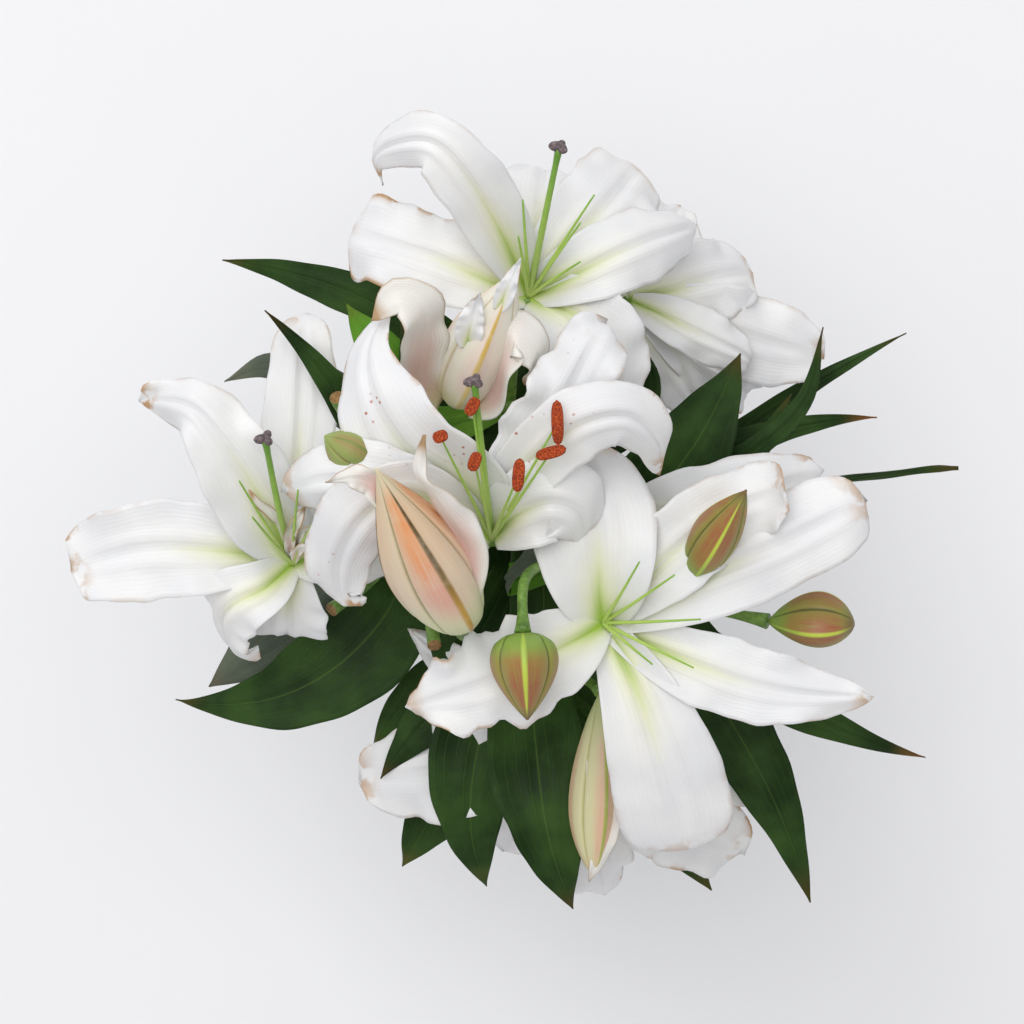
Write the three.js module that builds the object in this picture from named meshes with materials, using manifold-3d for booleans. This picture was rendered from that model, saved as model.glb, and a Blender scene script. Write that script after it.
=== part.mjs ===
// White oriental lilies, their buds and leaves on four cut stems, standing in a plain glass vase.
// Millimetres, +Z up. The origin is the middle of the vase's foot, on the surface it stands on.
// Seen from above, +Y is the back of the bouquet and +X its right side.

import * as THREE from 'three';
import { mergeVertices } from 'three/addons/utils/BufferGeometryUtils.js';
import Module from 'manifold-3d';

const wasm = await Module();
wasm.setup();

// ---- Driving dimensions ----

const vaseHeight = 250;
const vaseRadius = 55;
const vaseWall = 4;
const vaseFloor = 15;
const vaseRounding = 1.8;         // of the rim and of the foot's edge
const waterDepth = 135;

const stemRadius = 4.2;
const pedicelRadius = 2.5;        // the short stalk that carries one flower or bud
const seatRadius = 5;             // the swelling at a pedicel's end, where the tepals sit
const stemTwist = 122;            // degrees round the vase from a stem's foot to where it leans
const stemPastRim = 18;           // a stem runs straight on this far past the rim before it turns up
const stemGive = 0.15;            // how far it has already eased towards its top there, as a share
const crownShare = 1.15;          // a stem's rounded top over its radius
const pedicelRoot = 12;           // a pedicel starts this far down inside the stem

const tepalThickness = 1.2;
const innerTepalWidth = 50;
const outerTepalWidth = 38;
const tepalBaseShare = 0.26;      // a tepal's width at its foot, as a share of its widest
const leafThickness = 1.0;
const leafBaseShare = 0.3;
const tipShare = 0.97;            // a blade's solid ends here, where it has drawn in to a narrow end
const edgeLift = 0.22;            // how far a blade's edges are lifted, over its half width

const clearance = 0.3;            // left between two pieces that touch

const budEnd = { from: 0.02, to: 0.98, radius: 1.5 };    // a bud's blunt foot and tip
const budFullness = 0.75;         // below 1 a bud is plumper than a plain sine

const roundSides = { vase: 40, stem: 8, pedicel: 6, ball: 8, bud: 9 };
const tepalGrid = { along: 7, across: 3 };
const leafGrid = { along: 8, across: 2 };
const spineSteps = 4;             // fine steps of a blade's midrib for each row of its grid
const tubeSteps = { stem: 12, pedicel: 6 };
const budRings = 6;
const halvings = 24;              // of the search for a height on a stem

// ---- Solids ----

const radians = THREE.MathUtils.degToRad;

function solidOf(geometry) {
  const bare = geometry.clone();
  bare.deleteAttribute('normal');
  bare.deleteAttribute('uv');
  const merged = mergeVertices(bare, 1e-4);
  return new wasm.Manifold(new wasm.Mesh({
    numProp: 3,
    vertProperties: new Float32Array(merged.attributes.position.array),
    triVerts: new Uint32Array(merged.index.array),
  }));
}

function geometryOf(solid) {
  const mesh = solid.getMesh();
  const geometry = new THREE.BufferGeometry();
  geometry.setAttribute('position', new THREE.BufferAttribute(new Float32Array(mesh.vertProperties), 3));
  geometry.setIndex(new THREE.BufferAttribute(new Uint32Array(mesh.triVerts), 1));
  return geometry;
}

function turned(outline, sides) {
  const geometry = new THREE.LatheGeometry(outline, sides);
  geometry.rotateX(Math.PI / 2);
  return geometry;
}

function tube(path, radius, sides, steps) {
  const section = new THREE.Shape();
  for (let i = 0; i < sides; i += 1) {
    const angle = (2 * Math.PI * i) / sides;
    const corner = [radius * Math.cos(angle), radius * Math.sin(angle)];
    if (i === 0) section.moveTo(...corner);
    else section.lineTo(...corner);
  }
  section.closePath();
  return new THREE.ExtrudeGeometry(section, { steps, extrudePath: path, curveSegments: 1 });
}

// ---- Vase and water ----

function vaseSolid(extra) {
  const outer = vaseRadius + extra;
  const inner = vaseRadius - vaseWall - extra;
  const top = vaseHeight + extra;
  const floor = vaseFloor + extra;
  const round = vaseRounding;
  const outline = [
    [0, -extra], [outer - round, -extra], [outer, round - extra],
    [outer, top - round], [outer - round, top], [inner + round, top], [inner, top - round],
    [inner, floor + round], [inner - round, floor], [0, floor],
  ];
  return solidOf(turned(outline.map(([r, z]) => new THREE.Vector2(r, z)), roundSides.vase));
}

function waterSolid() {
  const radius = vaseRadius - vaseWall - clearance;
  const bottom = vaseFloor + clearance;
  const top = vaseFloor + waterDepth;
  const outline = [[0, bottom], [radius - vaseRounding, bottom], [radius, bottom + vaseRounding],
    [radius, top], [0, top]];
  return solidOf(turned(outline.map(([r, z]) => new THREE.Vector2(r, z)), roundSides.vase));
}

// ---- Stems ----
// Each stem stands on the vase's floor against the wall, crosses to the other side, leans on the rim
// there and turns up to its own top. Heights of tops, seats and leaves are above the rim.

const stems = {
  back: { lean: 92, top: [2, 59, 97] },
  right: { lean: -8, top: [43, -14, 100] },
  left: { lean: 186, top: [-48, -5, 100] },
  front: { lean: -82, top: [16, -68, 70] },
};

function aroundVase(radius, angle, height) {
  return new THREE.Vector3(
    radius * Math.cos(radians(angle)), radius * Math.sin(radians(angle)), height);
}

function overRim([x, y, height]) {
  return new THREE.Vector3(x, y, vaseHeight + height);
}

function stemPath(stem) {
  const inside = (vaseRadius - vaseWall) * Math.cos(Math.PI / roundSides.vase) - stemRadius;
  const foot = aroundVase(inside - clearance, stem.lean + stemTwist, vaseFloor);
  const lean = aroundVase(inside - clearance, stem.lean, vaseHeight - vaseRounding);
  const down = foot.clone().sub(lean).normalize();
  foot.addScaledVector(down, stemRadius);
  const middle = foot.clone().lerp(lean, 0.5);
  const past = lean.clone().addScaledVector(down, -stemPastRim);
  const top = overRim(stem.top);
  past.lerp(new THREE.Vector3(top.x, top.y, past.z), stemGive);
  return new THREE.CatmullRomCurve3([foot, middle, lean, past, top]);
}

// The point of a stem's axis at a height above the rim.
function onStem(stem, height) {
  const path = stemPath(stem);
  let low = 0;
  let high = 1;
  for (let i = 0; i < halvings; i += 1) {
    const half = (low + high) / 2;
    if (path.getPoint(half).z < vaseHeight + height) low = half;
    else high = half;
  }
  return path.getPoint(low);
}

// ---- Flowers and buds ----
// A tepal or leaf: it leaves its foot along `heading` (degrees from +X, seen from above) at `rise`
// degrees above level, and has turned by `sweep` and dropped to `dip` at its tip. `bend` above 1
// keeps the turning for the outer end, `roll` tips it about its own length, `broad` widens it.

const inner = {
  width: innerTepalWidth, thickness: tepalThickness, base: tepalBaseShare, widest: 0.58, taper: 0.55,
};
const outer = {
  width: outerTepalWidth, thickness: tepalThickness, base: tepalBaseShare, widest: 0.5, taper: 0.65,
};
const leafBlade = { thickness: leafThickness, base: leafBaseShare, widest: 0.4, taper: 1 };

const lilies = {
  back_lily: {
    stem: 'back', leave: 85, seat: [11, 108, 145], via: [5, 86, 125],
    tepals: [
      { ring: outer, heading: 121, length: 128, rise: 45, dip: -80, sweep: 85, bend: 3 },
      { ring: inner, heading: 158, length: 95, rise: 40, dip: -45 },
      { ring: inner, heading: 82, length: 100, rise: 20, dip: -100 },
      { ring: inner, heading: 45, length: 103, rise: 40, dip: -85 },
      { ring: outer, heading: 31, length: 100, rise: 22, dip: -75 },
      { ring: outer, heading: -12, length: 87, rise: 50, dip: -70, sweep: -85, broad: 1.1 },
    ],
  },
  rear_lily: {
    stem: 'back', leave: 60, seat: [60, 110, 92], via: [34, 88, 82],
    tepals: [
      { ring: inner, heading: 12, length: 70, rise: 30, dip: -60, broad: 0.8 },
      { ring: outer, heading: -30, length: 76, rise: 38, dip: -55, broad: 0.7 },
      { ring: inner, heading: -18, length: 100, rise: 5, dip: -35, broad: 0.85 },
      { ring: inner, heading: -36, length: 95, rise: -12, dip: -50, broad: 0.6 },
      { ring: outer, heading: -54, length: 88, rise: -5, dip: -60, broad: 0.8 },
      { ring: outer, heading: 62, length: 75, rise: 5, dip: -75 },
    ],
  },
  centre_lily: {
    stem: 'left', leave: 90, seat: [-6, -4, 165], via: [-22, -10, 135],
    tepals: [
      { ring: inner, heading: 137, length: 134, rise: 25, dip: -5, sweep: -120, bend: 2.2, broad: 0.95 },
      { ring: inner, heading: 63, length: 114, rise: 35, dip: -12 },
      { ring: outer, heading: 52, length: 104, rise: 55, dip: -45, sweep: -75 },
      { ring: outer, heading: 20, length: 88, rise: 48, dip: -105, sweep: -45 },
      { ring: outer, heading: 146, length: 116, rise: 50, dip: -35, sweep: 55 },
      { ring: inner, heading: 162, length: 110, rise: 52, dip: -65, sweep: 95, broad: 0.85 },
    ],
  },
  right_lily: {
    stem: 'right', leave: 92, seat: [45, -43, 150], via: [40, -30, 125],
    tepals: [
      { ring: inner, heading: 95, length: 104, rise: 72, dip: -5 },
      { ring: outer, heading: 50, length: 116, rise: 30, dip: -42, sweep: -30, bend: 1.6 },
      { ring: inner, heading: 25, length: 136, rise: 25, dip: -10, broad: 0.92 },
      { ring: outer, heading: -27, length: 128, rise: 16, dip: -12, sweep: 30, bend: 1.6, broad: 0.9 },
      { ring: inner, heading: -56, length: 124, rise: 25, dip: -42, sweep: -24, broad: 1.04, widest: 0.7 },
      { ring: outer, heading: 212, length: 108, rise: 50, dip: -22, sweep: -18, broad: 1.1 },
    ],
  },
  left_lily: {
    stem: 'left', leave: 75, seat: [-99, -16, 135], via: [-78, -14, 112],
    tepals: [
      { ring: inner, heading: 165, length: 108, rise: 30, dip: -20, sweep: 24, broad: 0.9 },
      { ring: outer, heading: 127, length: 112, rise: 40, dip: -20, sweep: 14 },
      { ring: inner, heading: 86, length: 120, rise: 10, dip: -5, broad: 0.72 },
      { ring: outer, heading: 18, length: 78, rise: 48, dip: -60 },
      { ring: inner, heading: -112, length: 72, rise: 10, dip: -95, broad: 0.9 },
      { ring: outer, heading: 232, length: 100, rise: 38, dip: -140 },
    ],
  },
  front_lily: {
    stem: 'front', leave: 55, seat: [31, -108, 82], via: [25, -86, 72],
    tepals: [
      { ring: inner, heading: 189, length: 106, rise: 6, dip: -30 },
      { ring: outer, heading: 143, length: 102, rise: 20, dip: -30, broad: 0.8 },
      { ring: inner, heading: 240, length: 92, rise: 0, dip: -60 },
      { ring: outer, heading: -76, length: 90, rise: -5, dip: -50 },
      { ring: inner, heading: -32, length: 108, rise: 2, dip: -40 },
      { ring: outer, heading: -8, length: 115, rise: 5, dip: -40 },
    ],
  },
};

const buds = {
  bud_opening_left: { stem: 'left', leave: 80, foot: [-18, -42, 190], via: [-20, -48, 160],
    tip: [-55, 27, 250], radius: 20, fattest: 0.38 },
  bud_opening_back: { stem: 'back', leave: 75, foot: [-23, 59, 150], via: [-16, 58, 125],
    tip: [5, 119, 205], radius: 19, fattest: 0.4 },
  bud_small_front: { stem: 'right', leave: 95, foot: [8, -45, 205], via: [9, -22, 190],
    tip: [10, -84, 205], radius: 14.5, fattest: 0.55 },
  bud_small_right: { stem: 'right', leave: 90, foot: [123, -43, 130], via: [85, -34, 110],
    tip: [163, -44, 138], radius: 12.5, fattest: 0.5 },
  bud_green_right: { stem: 'right', leave: 97, foot: [86, -20, 160], via: [66, -18, 135],
    tip: [107, 18, 204], radius: 14, fattest: 0.4 },
  bud_half_open_front: { stem: 'front', leave: 62, foot: [45, -76, 120], via: [36, -71, 98],
    tip: [48, -168, 106], radius: 16, fattest: 0.5 },
};

const leaves = {
  leaf_back_left: { stem: 'back', at: 60, heading: 118, length: 165, width: 25, rise: 25, dip: -5,
    sweep: 54, bend: 0.6 },
  leaf_left_upper: { stem: 'left', at: 85, heading: 98, length: 152, width: 18, rise: 62, dip: 0, sweep: 40 },
  leaf_behind_centre: { stem: 'right', at: 80, heading: 38, length: 128, width: 42,
    rise: 35, dip: 0, sweep: 26 },
  leaf_right_curved: { stem: 'right', at: 55, heading: 55, length: 160, width: 17,
    rise: 30, dip: -5, sweep: -55 },
  leaf_right_back: { stem: 'right', at: 20, heading: 46, length: 188, width: 13,
    rise: 12, dip: 8, sweep: -20 },
  leaf_right_edge_on: { stem: 'right', at: 70, heading: 27, length: 182, width: 16,
    rise: 20, dip: -5, sweep: -26,
    roll: 60 },
  leaf_right_front: { stem: 'right', at: 30, heading: -52, length: 198, width: 23,
    rise: 30, dip: -15, sweep: 38 },
  leaf_front_right: { stem: 'right', at: 50, heading: -45, length: 210, width: 38,
    rise: 30, dip: -25, sweep: -28 },
  leaf_front: { stem: 'front', at: 60, heading: -100, length: 140, width: 42, rise: 62, dip: -38, sweep: 18 },
  leaf_front_left: { stem: 'front', at: 48, heading: -150, length: 140, width: 40, rise: 65, dip: -38,
    sweep: 72, bend: 0.8 },
  leaf_front_small: { stem: 'front', at: 36, heading: -157, length: 125, width: 28,
    rise: 60, dip: -20, sweep: 30 },
  leaf_left_broad: { stem: 'left', at: 60, heading: 284, length: 162, width: 54, rise: 20, dip: -15,
    sweep: -115, bend: 0.7 },
};

// Half of a blade's width at a share t of its length, as a share of its widest half.
function fullness(t, { base, widest, taper }) {
  if (t < widest) return base + (1 - base) * Math.sin((Math.PI / 2) * (t / widest));
  return Math.max(Math.cos((Math.PI / 2) * ((t - widest) / (1 - widest))), 0) ** taper;
}

function bladeSolid(shape, foot, grid, extra) {
  const { heading, length, rise, dip, sweep = 0, bend = 1, roll = 0 } = shape;
  const steps = grid.along * spineSteps;
  const spine = [];
  const at = foot.clone();
  for (let i = 0; i <= steps; i += 1) {
    const turn = (i / steps) ** bend;
    const h = radians(heading + sweep * turn);
    const e = radians(rise + (dip - rise) * turn);
    const along = new THREE.Vector3(Math.cos(e) * Math.cos(h), Math.cos(e) * Math.sin(h), Math.sin(e));
    if (i > 0) at.addScaledVector(along, (length * tipShare) / steps);
    const side = new THREE.Vector3(-Math.sin(h), Math.cos(h), 0).applyAxisAngle(along, radians(roll));
    const face = along.clone().cross(side);
    spine.push({ at: at.clone(), along, side, face });
  }
  const box = new THREE.BoxGeometry(1, 1, 1, grid.along, grid.across, 1);
  const position = box.attributes.position;
  for (let i = 0; i < position.count; i += 1) {
    const t = position.getX(i) + 0.5;
    const v = position.getY(i) * 2;
    const layer = position.getZ(i) * 2;
    const { at: middle, along, side, face } = spine[Math.round(t * steps)];
    const half = (shape.width / 2) * fullness(t * tipShare, shape);
    const point = middle.clone()
      .addScaledVector(side, v * (half + extra))
      .addScaledVector(face, edgeLift * half * v * v + layer * (shape.thickness / 2 + extra))
      .addScaledVector(along, (2 * t - 1) * extra);
    position.setXYZ(i, point.x, point.y, point.z);
  }
  return solidOf(box);
}

function budSolid(bud, extra) {
  const foot = overRim(bud.foot);
  const axis = overRim(bud.tip).sub(foot);
  const length = axis.length();
  axis.normalize();
  const outline = [new THREE.Vector2(0, -extra)];
  const warp = Math.log(0.5) / Math.log(bud.fattest);
  for (let i = 0; i <= budRings; i += 1) {
    const t = budEnd.from + ((budEnd.to - budEnd.from) * i) / budRings;
    const radius = bud.radius * Math.sin(Math.PI * t ** warp) ** budFullness;
    outline.push(new THREE.Vector2(Math.max(radius, budEnd.radius) + extra, t * length));
  }
  outline.push(new THREE.Vector2(0, length + extra));
  const geometry = new THREE.LatheGeometry(outline, roundSides.bud);
  geometry.applyQuaternion(new THREE.Quaternion().setFromUnitVectors(new THREE.Vector3(0, 1, 0), axis));
  geometry.translate(foot.x, foot.y, foot.z);
  return solidOf(geometry);
}

function ballSolid(middle, radius) {
  const ball = new THREE.SphereGeometry(radius, roundSides.ball, roundSides.ball / 2);
  ball.translate(middle.x, middle.y, middle.z);
  return solidOf(ball);
}

// A pedicel with the swelling at its end.
function pedicelSolid(stem, part, end, extra) {
  const via = overRim(part.via);
  const start = onStem(stem, part.leave - pedicelRoot);
  const fork = onStem(stem, part.leave).lerp(via, stemGive);
  const path = new THREE.CatmullRomCurve3([start, fork, via, end]);
  return solidOf(tube(path, pedicelRadius + extra, roundSides.pedicel, tubeSteps.pedicel))
    .add(ballSolid(end, seatRadius + extra));
}

function stemSolid(name, extra) {
  const stem = stems[name];
  const path = stemPath(stem);
  let solid = solidOf(tube(path, stemRadius + extra, roundSides.stem, tubeSteps.stem))
    .add(ballSolid(path.getPoint(1), (stemRadius + extra) * crownShare));
  for (const lily of Object.values(lilies)) {
    if (lily.stem === name) solid = solid.add(pedicelSolid(stem, lily, overRim(lily.seat), extra));
  }
  for (const bud of Object.values(buds)) {
    if (bud.stem === name) solid = solid.add(pedicelSolid(stem, bud, overRim(bud.foot), extra));
  }
  return solid;
}

// ---- Putting it together ----
// Pieces are made in the order below, and each gives way to those before it by the clearance.

const finishes = {
  glass: { color: 0xdfe8e6, roughness: 0.05, metalness: 0 },
  water: { color: 0xd5e6e6, roughness: 0.05, metalness: 0 },
  stem: { color: 0x6f9a35, roughness: 0.55, metalness: 0 },
  tepal: { color: 0xf2f1ee, roughness: 0.5, metalness: 0 },
  bud: { color: 0xd9cf9e, roughness: 0.5, metalness: 0 },
  leaf: { color: 0x24482a, roughness: 0.4, metalness: 0 },
};

const bouquet = new THREE.Group();
const placed = [];

function near(a, b) {
  const p = a.boundingBox();
  const q = b.boundingBox();
  return [0, 1, 2].every((k) => p.min[k] < q.max[k] && q.min[k] < p.max[k]);
}

function place(name, finish, make) {
  let solid = make(0);
  for (const other of placed) {
    if (near(solid, other.swollen)) solid = solid.subtract(other.swollen);
  }
  const bodies = solid.decompose();
  bodies.sort((a, b) => b.volume() - a.volume());
  placed.push({ name, swollen: make(clearance) });
  const mesh = new THREE.Mesh(geometryOf(bodies[0]), new THREE.MeshStandardMaterial(finishes[finish]));
  mesh.name = name;
  bouquet.add(mesh);
}

place('vase', 'glass', vaseSolid);
for (const name of Object.keys(stems)) place(`stem_${name}`, 'stem', (extra) => stemSolid(name, extra));
for (const [name, bud] of Object.entries(buds)) place(name, 'bud', (extra) => budSolid(bud, extra));
for (const kind of [inner, outer]) {
  for (const [name, lily] of Object.entries(lilies)) {
    lily.tepals.forEach((tepal, i) => {
      if (tepal.ring !== kind) return;
      const shape = { ...kind, ...tepal, width: kind.width * (tepal.broad ?? 1) };
      const make = (extra) => bladeSolid(shape, overRim(lily.seat), tepalGrid, extra);
      place(`${name}_tepal_${i + 1}`, 'tepal', make);
    });
  }
}
for (const [name, leaf] of Object.entries(leaves)) {
  const shape = { ...leafBlade, ...leaf };
  place(name, 'leaf', (extra) => bladeSolid(shape, onStem(stems[leaf.stem], leaf.at), leafGrid, extra));
}
place('water', 'water', waterSolid);

export default bouquet;
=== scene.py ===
import math
import random

import bpy
import numpy as np
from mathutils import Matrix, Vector


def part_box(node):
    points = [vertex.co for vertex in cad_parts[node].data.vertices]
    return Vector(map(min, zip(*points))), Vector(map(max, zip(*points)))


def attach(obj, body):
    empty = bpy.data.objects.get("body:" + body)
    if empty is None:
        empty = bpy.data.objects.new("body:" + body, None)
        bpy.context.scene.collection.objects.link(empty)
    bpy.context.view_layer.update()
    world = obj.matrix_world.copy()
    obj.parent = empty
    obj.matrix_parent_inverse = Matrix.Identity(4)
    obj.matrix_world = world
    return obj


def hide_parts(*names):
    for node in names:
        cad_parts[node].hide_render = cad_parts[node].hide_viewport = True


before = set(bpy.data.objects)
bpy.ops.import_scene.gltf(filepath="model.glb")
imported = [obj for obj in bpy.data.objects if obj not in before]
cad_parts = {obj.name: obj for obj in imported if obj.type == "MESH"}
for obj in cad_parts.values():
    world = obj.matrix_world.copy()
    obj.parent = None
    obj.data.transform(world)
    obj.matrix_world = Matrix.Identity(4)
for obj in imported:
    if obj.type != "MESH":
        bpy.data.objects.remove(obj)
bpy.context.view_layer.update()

MM = 0.001


# ---- The vase ----
# A plain cylinder of clear glass, drawn with a thick base and a fire-polished rim. It stands on its
# flat foot, and the wall has the slight unevenness of drawn glass.

vase_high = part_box("vase")[1]
rim = vase_high[2]
vase_radius = vase_high[0]
vase_wall = 4 * MM
vase_floor = 15 * MM
rim_round = 1.9 * MM


def built(name, points, faces, values=None):
    """A smooth mesh piece from its points, its faces and any values that each point carries."""
    mesh = bpy.data.meshes.new(name)
    mesh.from_pydata([tuple(p) for p in points], [], faces)
    for key, column in (values or {}).items():
        mesh.attributes.new(key, "FLOAT", "POINT").data.foreach_set("value", np.asarray(column, dtype="f"))
    mesh.shade_smooth()
    made = bpy.data.objects.new(name, mesh)
    bpy.context.scene.collection.objects.link(made)
    return made


def turned(name, outline, sides):
    """A turned piece: the outline's first and last points lie on the axis."""
    points, faces = [], []
    count = len(outline) - 2
    for radius, height in outline[1:-1]:
        for i in range(sides):
            angle = 2 * math.pi * i / sides
            points.append((radius * math.cos(angle), radius * math.sin(angle), height))
    for j in range(count - 1):
        for i in range(sides):
            k = (i + 1) % sides
            faces.append((j * sides + i, j * sides + k, (j + 1) * sides + k, (j + 1) * sides + i))
    first, last = len(points), len(points) + 1
    points += [(0, 0, outline[0][1]), (0, 0, outline[-1][1])]
    for i in range(sides):
        k = (i + 1) % sides
        faces.append((first, k, i))
        faces.append((last, (count - 1) * sides + i, (count - 1) * sides + k))
    return built(name, points, faces)


def quarter(centre, radius, start, steps=6):
    """Points of a quarter round, from an angle in degrees, turning left."""
    return [(centre[0] + radius * math.cos(math.radians(start + 90 * i / steps)),
             centre[1] + radius * math.sin(math.radians(start + 90 * i / steps))) for i in range(steps + 1)]


def material(name):
    """An empty node material with its Principled shader, ready to wire."""
    made = bpy.data.materials.new(name)
    made.use_nodes = True
    nodes = made.node_tree.nodes
    nodes.clear()
    output = nodes.new("ShaderNodeOutputMaterial")
    shader = nodes.new("ShaderNodeBsdfPrincipled")
    made.node_tree.links.new(shader.outputs["BSDF"], output.inputs["Surface"])
    return made, nodes, made.node_tree.links, shader, output


def feed(links, socket, given):
    """Links a socket to another one, or sets it to a number or a colour."""
    if isinstance(given, bpy.types.NodeSocket):
        links.new(given, socket)
    elif isinstance(given, tuple):
        socket.default_value = (*given, 1)
    elif given is not None:
        socket.default_value = given


def noise(nodes, links, scale, detail=3, vector=None):
    """A noise over the piece's own place, as a value from 0 to 1."""
    node = nodes.new("ShaderNodeTexNoise")
    feed(links, node.inputs["Scale"], scale)
    feed(links, node.inputs["Detail"], detail)
    if vector is None:
        vector = nodes.new("ShaderNodeTexCoord").outputs["Object"]
    links.new(vector, node.inputs["Vector"])
    return node.outputs["Fac"]


def effect(name, inputs, outputs):
    """An empty shader node group with named inputs and outputs, ready to wire."""
    group = bpy.data.node_groups.new(name, "ShaderNodeTree")
    for key, value in inputs.items():
        kind = "NodeSocketColor" if isinstance(value, tuple) else "NodeSocketFloat"
        socket = group.interface.new_socket(key, in_out="INPUT", socket_type=kind)
        socket.default_value = (*value, 1) if isinstance(value, tuple) else value
    for key, kind in outputs.items():
        group.interface.new_socket(key, in_out="OUTPUT", socket_type=f"NodeSocket{kind}")
    given = group.nodes.new("NodeGroupInput").outputs
    result = group.nodes.new("NodeGroupOutput").inputs
    return group, group.nodes, group.links, given, result


def placed(nodes, links, group, **values):
    """Places an effect in a material with its own values, and gives back its outputs."""
    node = nodes.new("ShaderNodeGroup")
    node.node_tree = group
    for key, value in values.items():
        feed(links, node.inputs[key], value)
    return node.outputs


def grain_effect():
    """The fine unevenness of a surface, as a value and as a normal."""
    group, nodes, links, given, result = effect(
        "surface_grain", {"Scale": 200.0, "Detail": 3.0, "Strength": 0.25, "Distance": 0.0002},
        {"Value": "Float", "Normal": "Vector"})
    value = noise(nodes, links, given["Scale"], given["Detail"])
    bump = nodes.new("ShaderNodeBump")
    feed(links, bump.inputs["Strength"], given["Strength"])
    feed(links, bump.inputs["Distance"], given["Distance"])
    links.new(value, bump.inputs["Height"])
    links.new(value, result["Value"])
    links.new(bump.outputs["Normal"], result["Normal"])
    return group


surface_grain = grain_effect()
ripple_strength = 0.25


def clear_material(name, tint, ior, scale, depth):
    """Clear glass or water: it bends light, throws no hard shadow, and is faintly uneven."""
    made, nodes, links, shader, output = material(name)
    shader.inputs["Base Color"].default_value = (*tint, 1)
    shader.inputs["Roughness"].default_value = 0.0
    shader.inputs["Transmission Weight"].default_value = 1.0
    shader.inputs["IOR"].default_value = ior
    ripple = placed(nodes, links, surface_grain, Scale=scale, Detail=1.0, Strength=ripple_strength,
                    Distance=depth)
    links.new(ripple["Normal"], shader.inputs["Normal"])
    path = nodes.new("ShaderNodeLightPath")
    passing = nodes.new("ShaderNodeBsdfTransparent")
    passing.inputs["Color"].default_value = (*tint, 1)
    mix = nodes.new("ShaderNodeMixShader")
    links.new(path.outputs["Is Shadow Ray"], mix.inputs["Fac"])
    links.new(shader.outputs["BSDF"], mix.inputs[1])
    links.new(passing.outputs["BSDF"], mix.inputs[2])
    links.new(mix.outputs["Shader"], output.inputs["Surface"])
    return made


inside = vase_radius - vase_wall
base_round = 3 * MM
floor_round = 2 * base_round
turned_sides = 128
vase_outline = [(0, 0)]
vase_outline += quarter((vase_radius - base_round, base_round), base_round, 270)
vase_outline += quarter((vase_radius - rim_round, rim - rim_round), rim_round, 0)
vase_outline += quarter((inside + rim_round, rim - rim_round), rim_round, 90)
water_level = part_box("water")[1][2]
vase_outline += [(inside, water_level), (inside, vase_floor + floor_round)]
vase_outline += quarter((inside - floor_round, vase_floor + floor_round), floor_round, 270)[-2::-1]
vase_outline += [(0, vase_floor)]
glass_bends, water_bends = 1.46, 1.333
glass_tint = (0.965, 0.985, 0.975)
draw_lines, draw_depth = 14, 0.6 * MM
hair = 0.1 * MM
vase = turned("vase_glass", vase_outline, turned_sides)
for look, bends in (("clear_glass", glass_bends), ("wetted_glass", glass_bends / water_bends)):
    vase.data.materials.append(clear_material(look, glass_tint, bends, draw_lines, draw_depth))
for face in vase.data.polygons:
    middle = face.center
    if vase_floor - hair <= middle.z < water_level and middle.xy.length < inside + hair:
        face.material_index = 1
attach(vase, "root")
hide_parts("vase")


# ---- The water ----
# Tap water to a little over half the vase's height. It wets the glass, so it has no air between it
# and the wall, and its surface climbs the wall by a couple of millimetres.

wet = 0.05 * MM
climb, climb_reach = 2 * MM, 3.2 * MM
ripples, ripple_depth = 30, 0.2 * MM
water_outline = [(0, vase_floor - wet), (inside - floor_round, vase_floor - wet)]
water_outline += quarter((inside - floor_round, vase_floor + floor_round), floor_round + wet, 270)[1:]
water_outline += [(inside + wet, water_level)]
for step in range(1, 5):
    angle = math.pi / 8 * step
    water_outline.append((inside - climb_reach * (1 - math.cos(angle)),
                          water_level - climb * math.sin(angle)))
water_outline += [(inside * share, water_level - climb) for share in (0.8, 0.55, 0.3, 0)]
water = turned("vase_water", water_outline, turned_sides)
for look, tint, bends in (("still_water", (0.985, 0.995, 0.99), water_bends),
                          ("water_on_glass", (0.99, 0.997, 0.993), 1.0)):
    water.data.materials.append(clear_material(look, tint, bends, ripples, ripple_depth))
for face in water.data.polygons:
    if face.normal.z < 0.2 and face.center.z < water_level - climb:
        face.material_index = 1
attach(water, "root")
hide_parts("water")


# ---- The stems ----
# Four cut stems with the short stalks that carry the blooms. Each stands on the vase's floor against
# the wall, crosses the vase, leans on the rim and turns up to the light. Old leaf scars ring it.

stem_radius = 4.2
stem_twist = 122
stem_past_rim = 18
stem_give = 0.15
stem_clearance = 0.4
foot_lift = 1.6
pedicel_radius = 2.2
pedicel_root = 12
pedicel_thins = 0.6
seat_radius = 3.9

stems = {
    "back": {"lean": 92, "top": (2, 59, 97)},
    "right": {"lean": -8, "top": (43, -14, 100)},
    "left": {"lean": 186, "top": (-48, -5, 100)},
    "front": {"lean": -82, "top": (16, -68, 70)},
}

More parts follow.
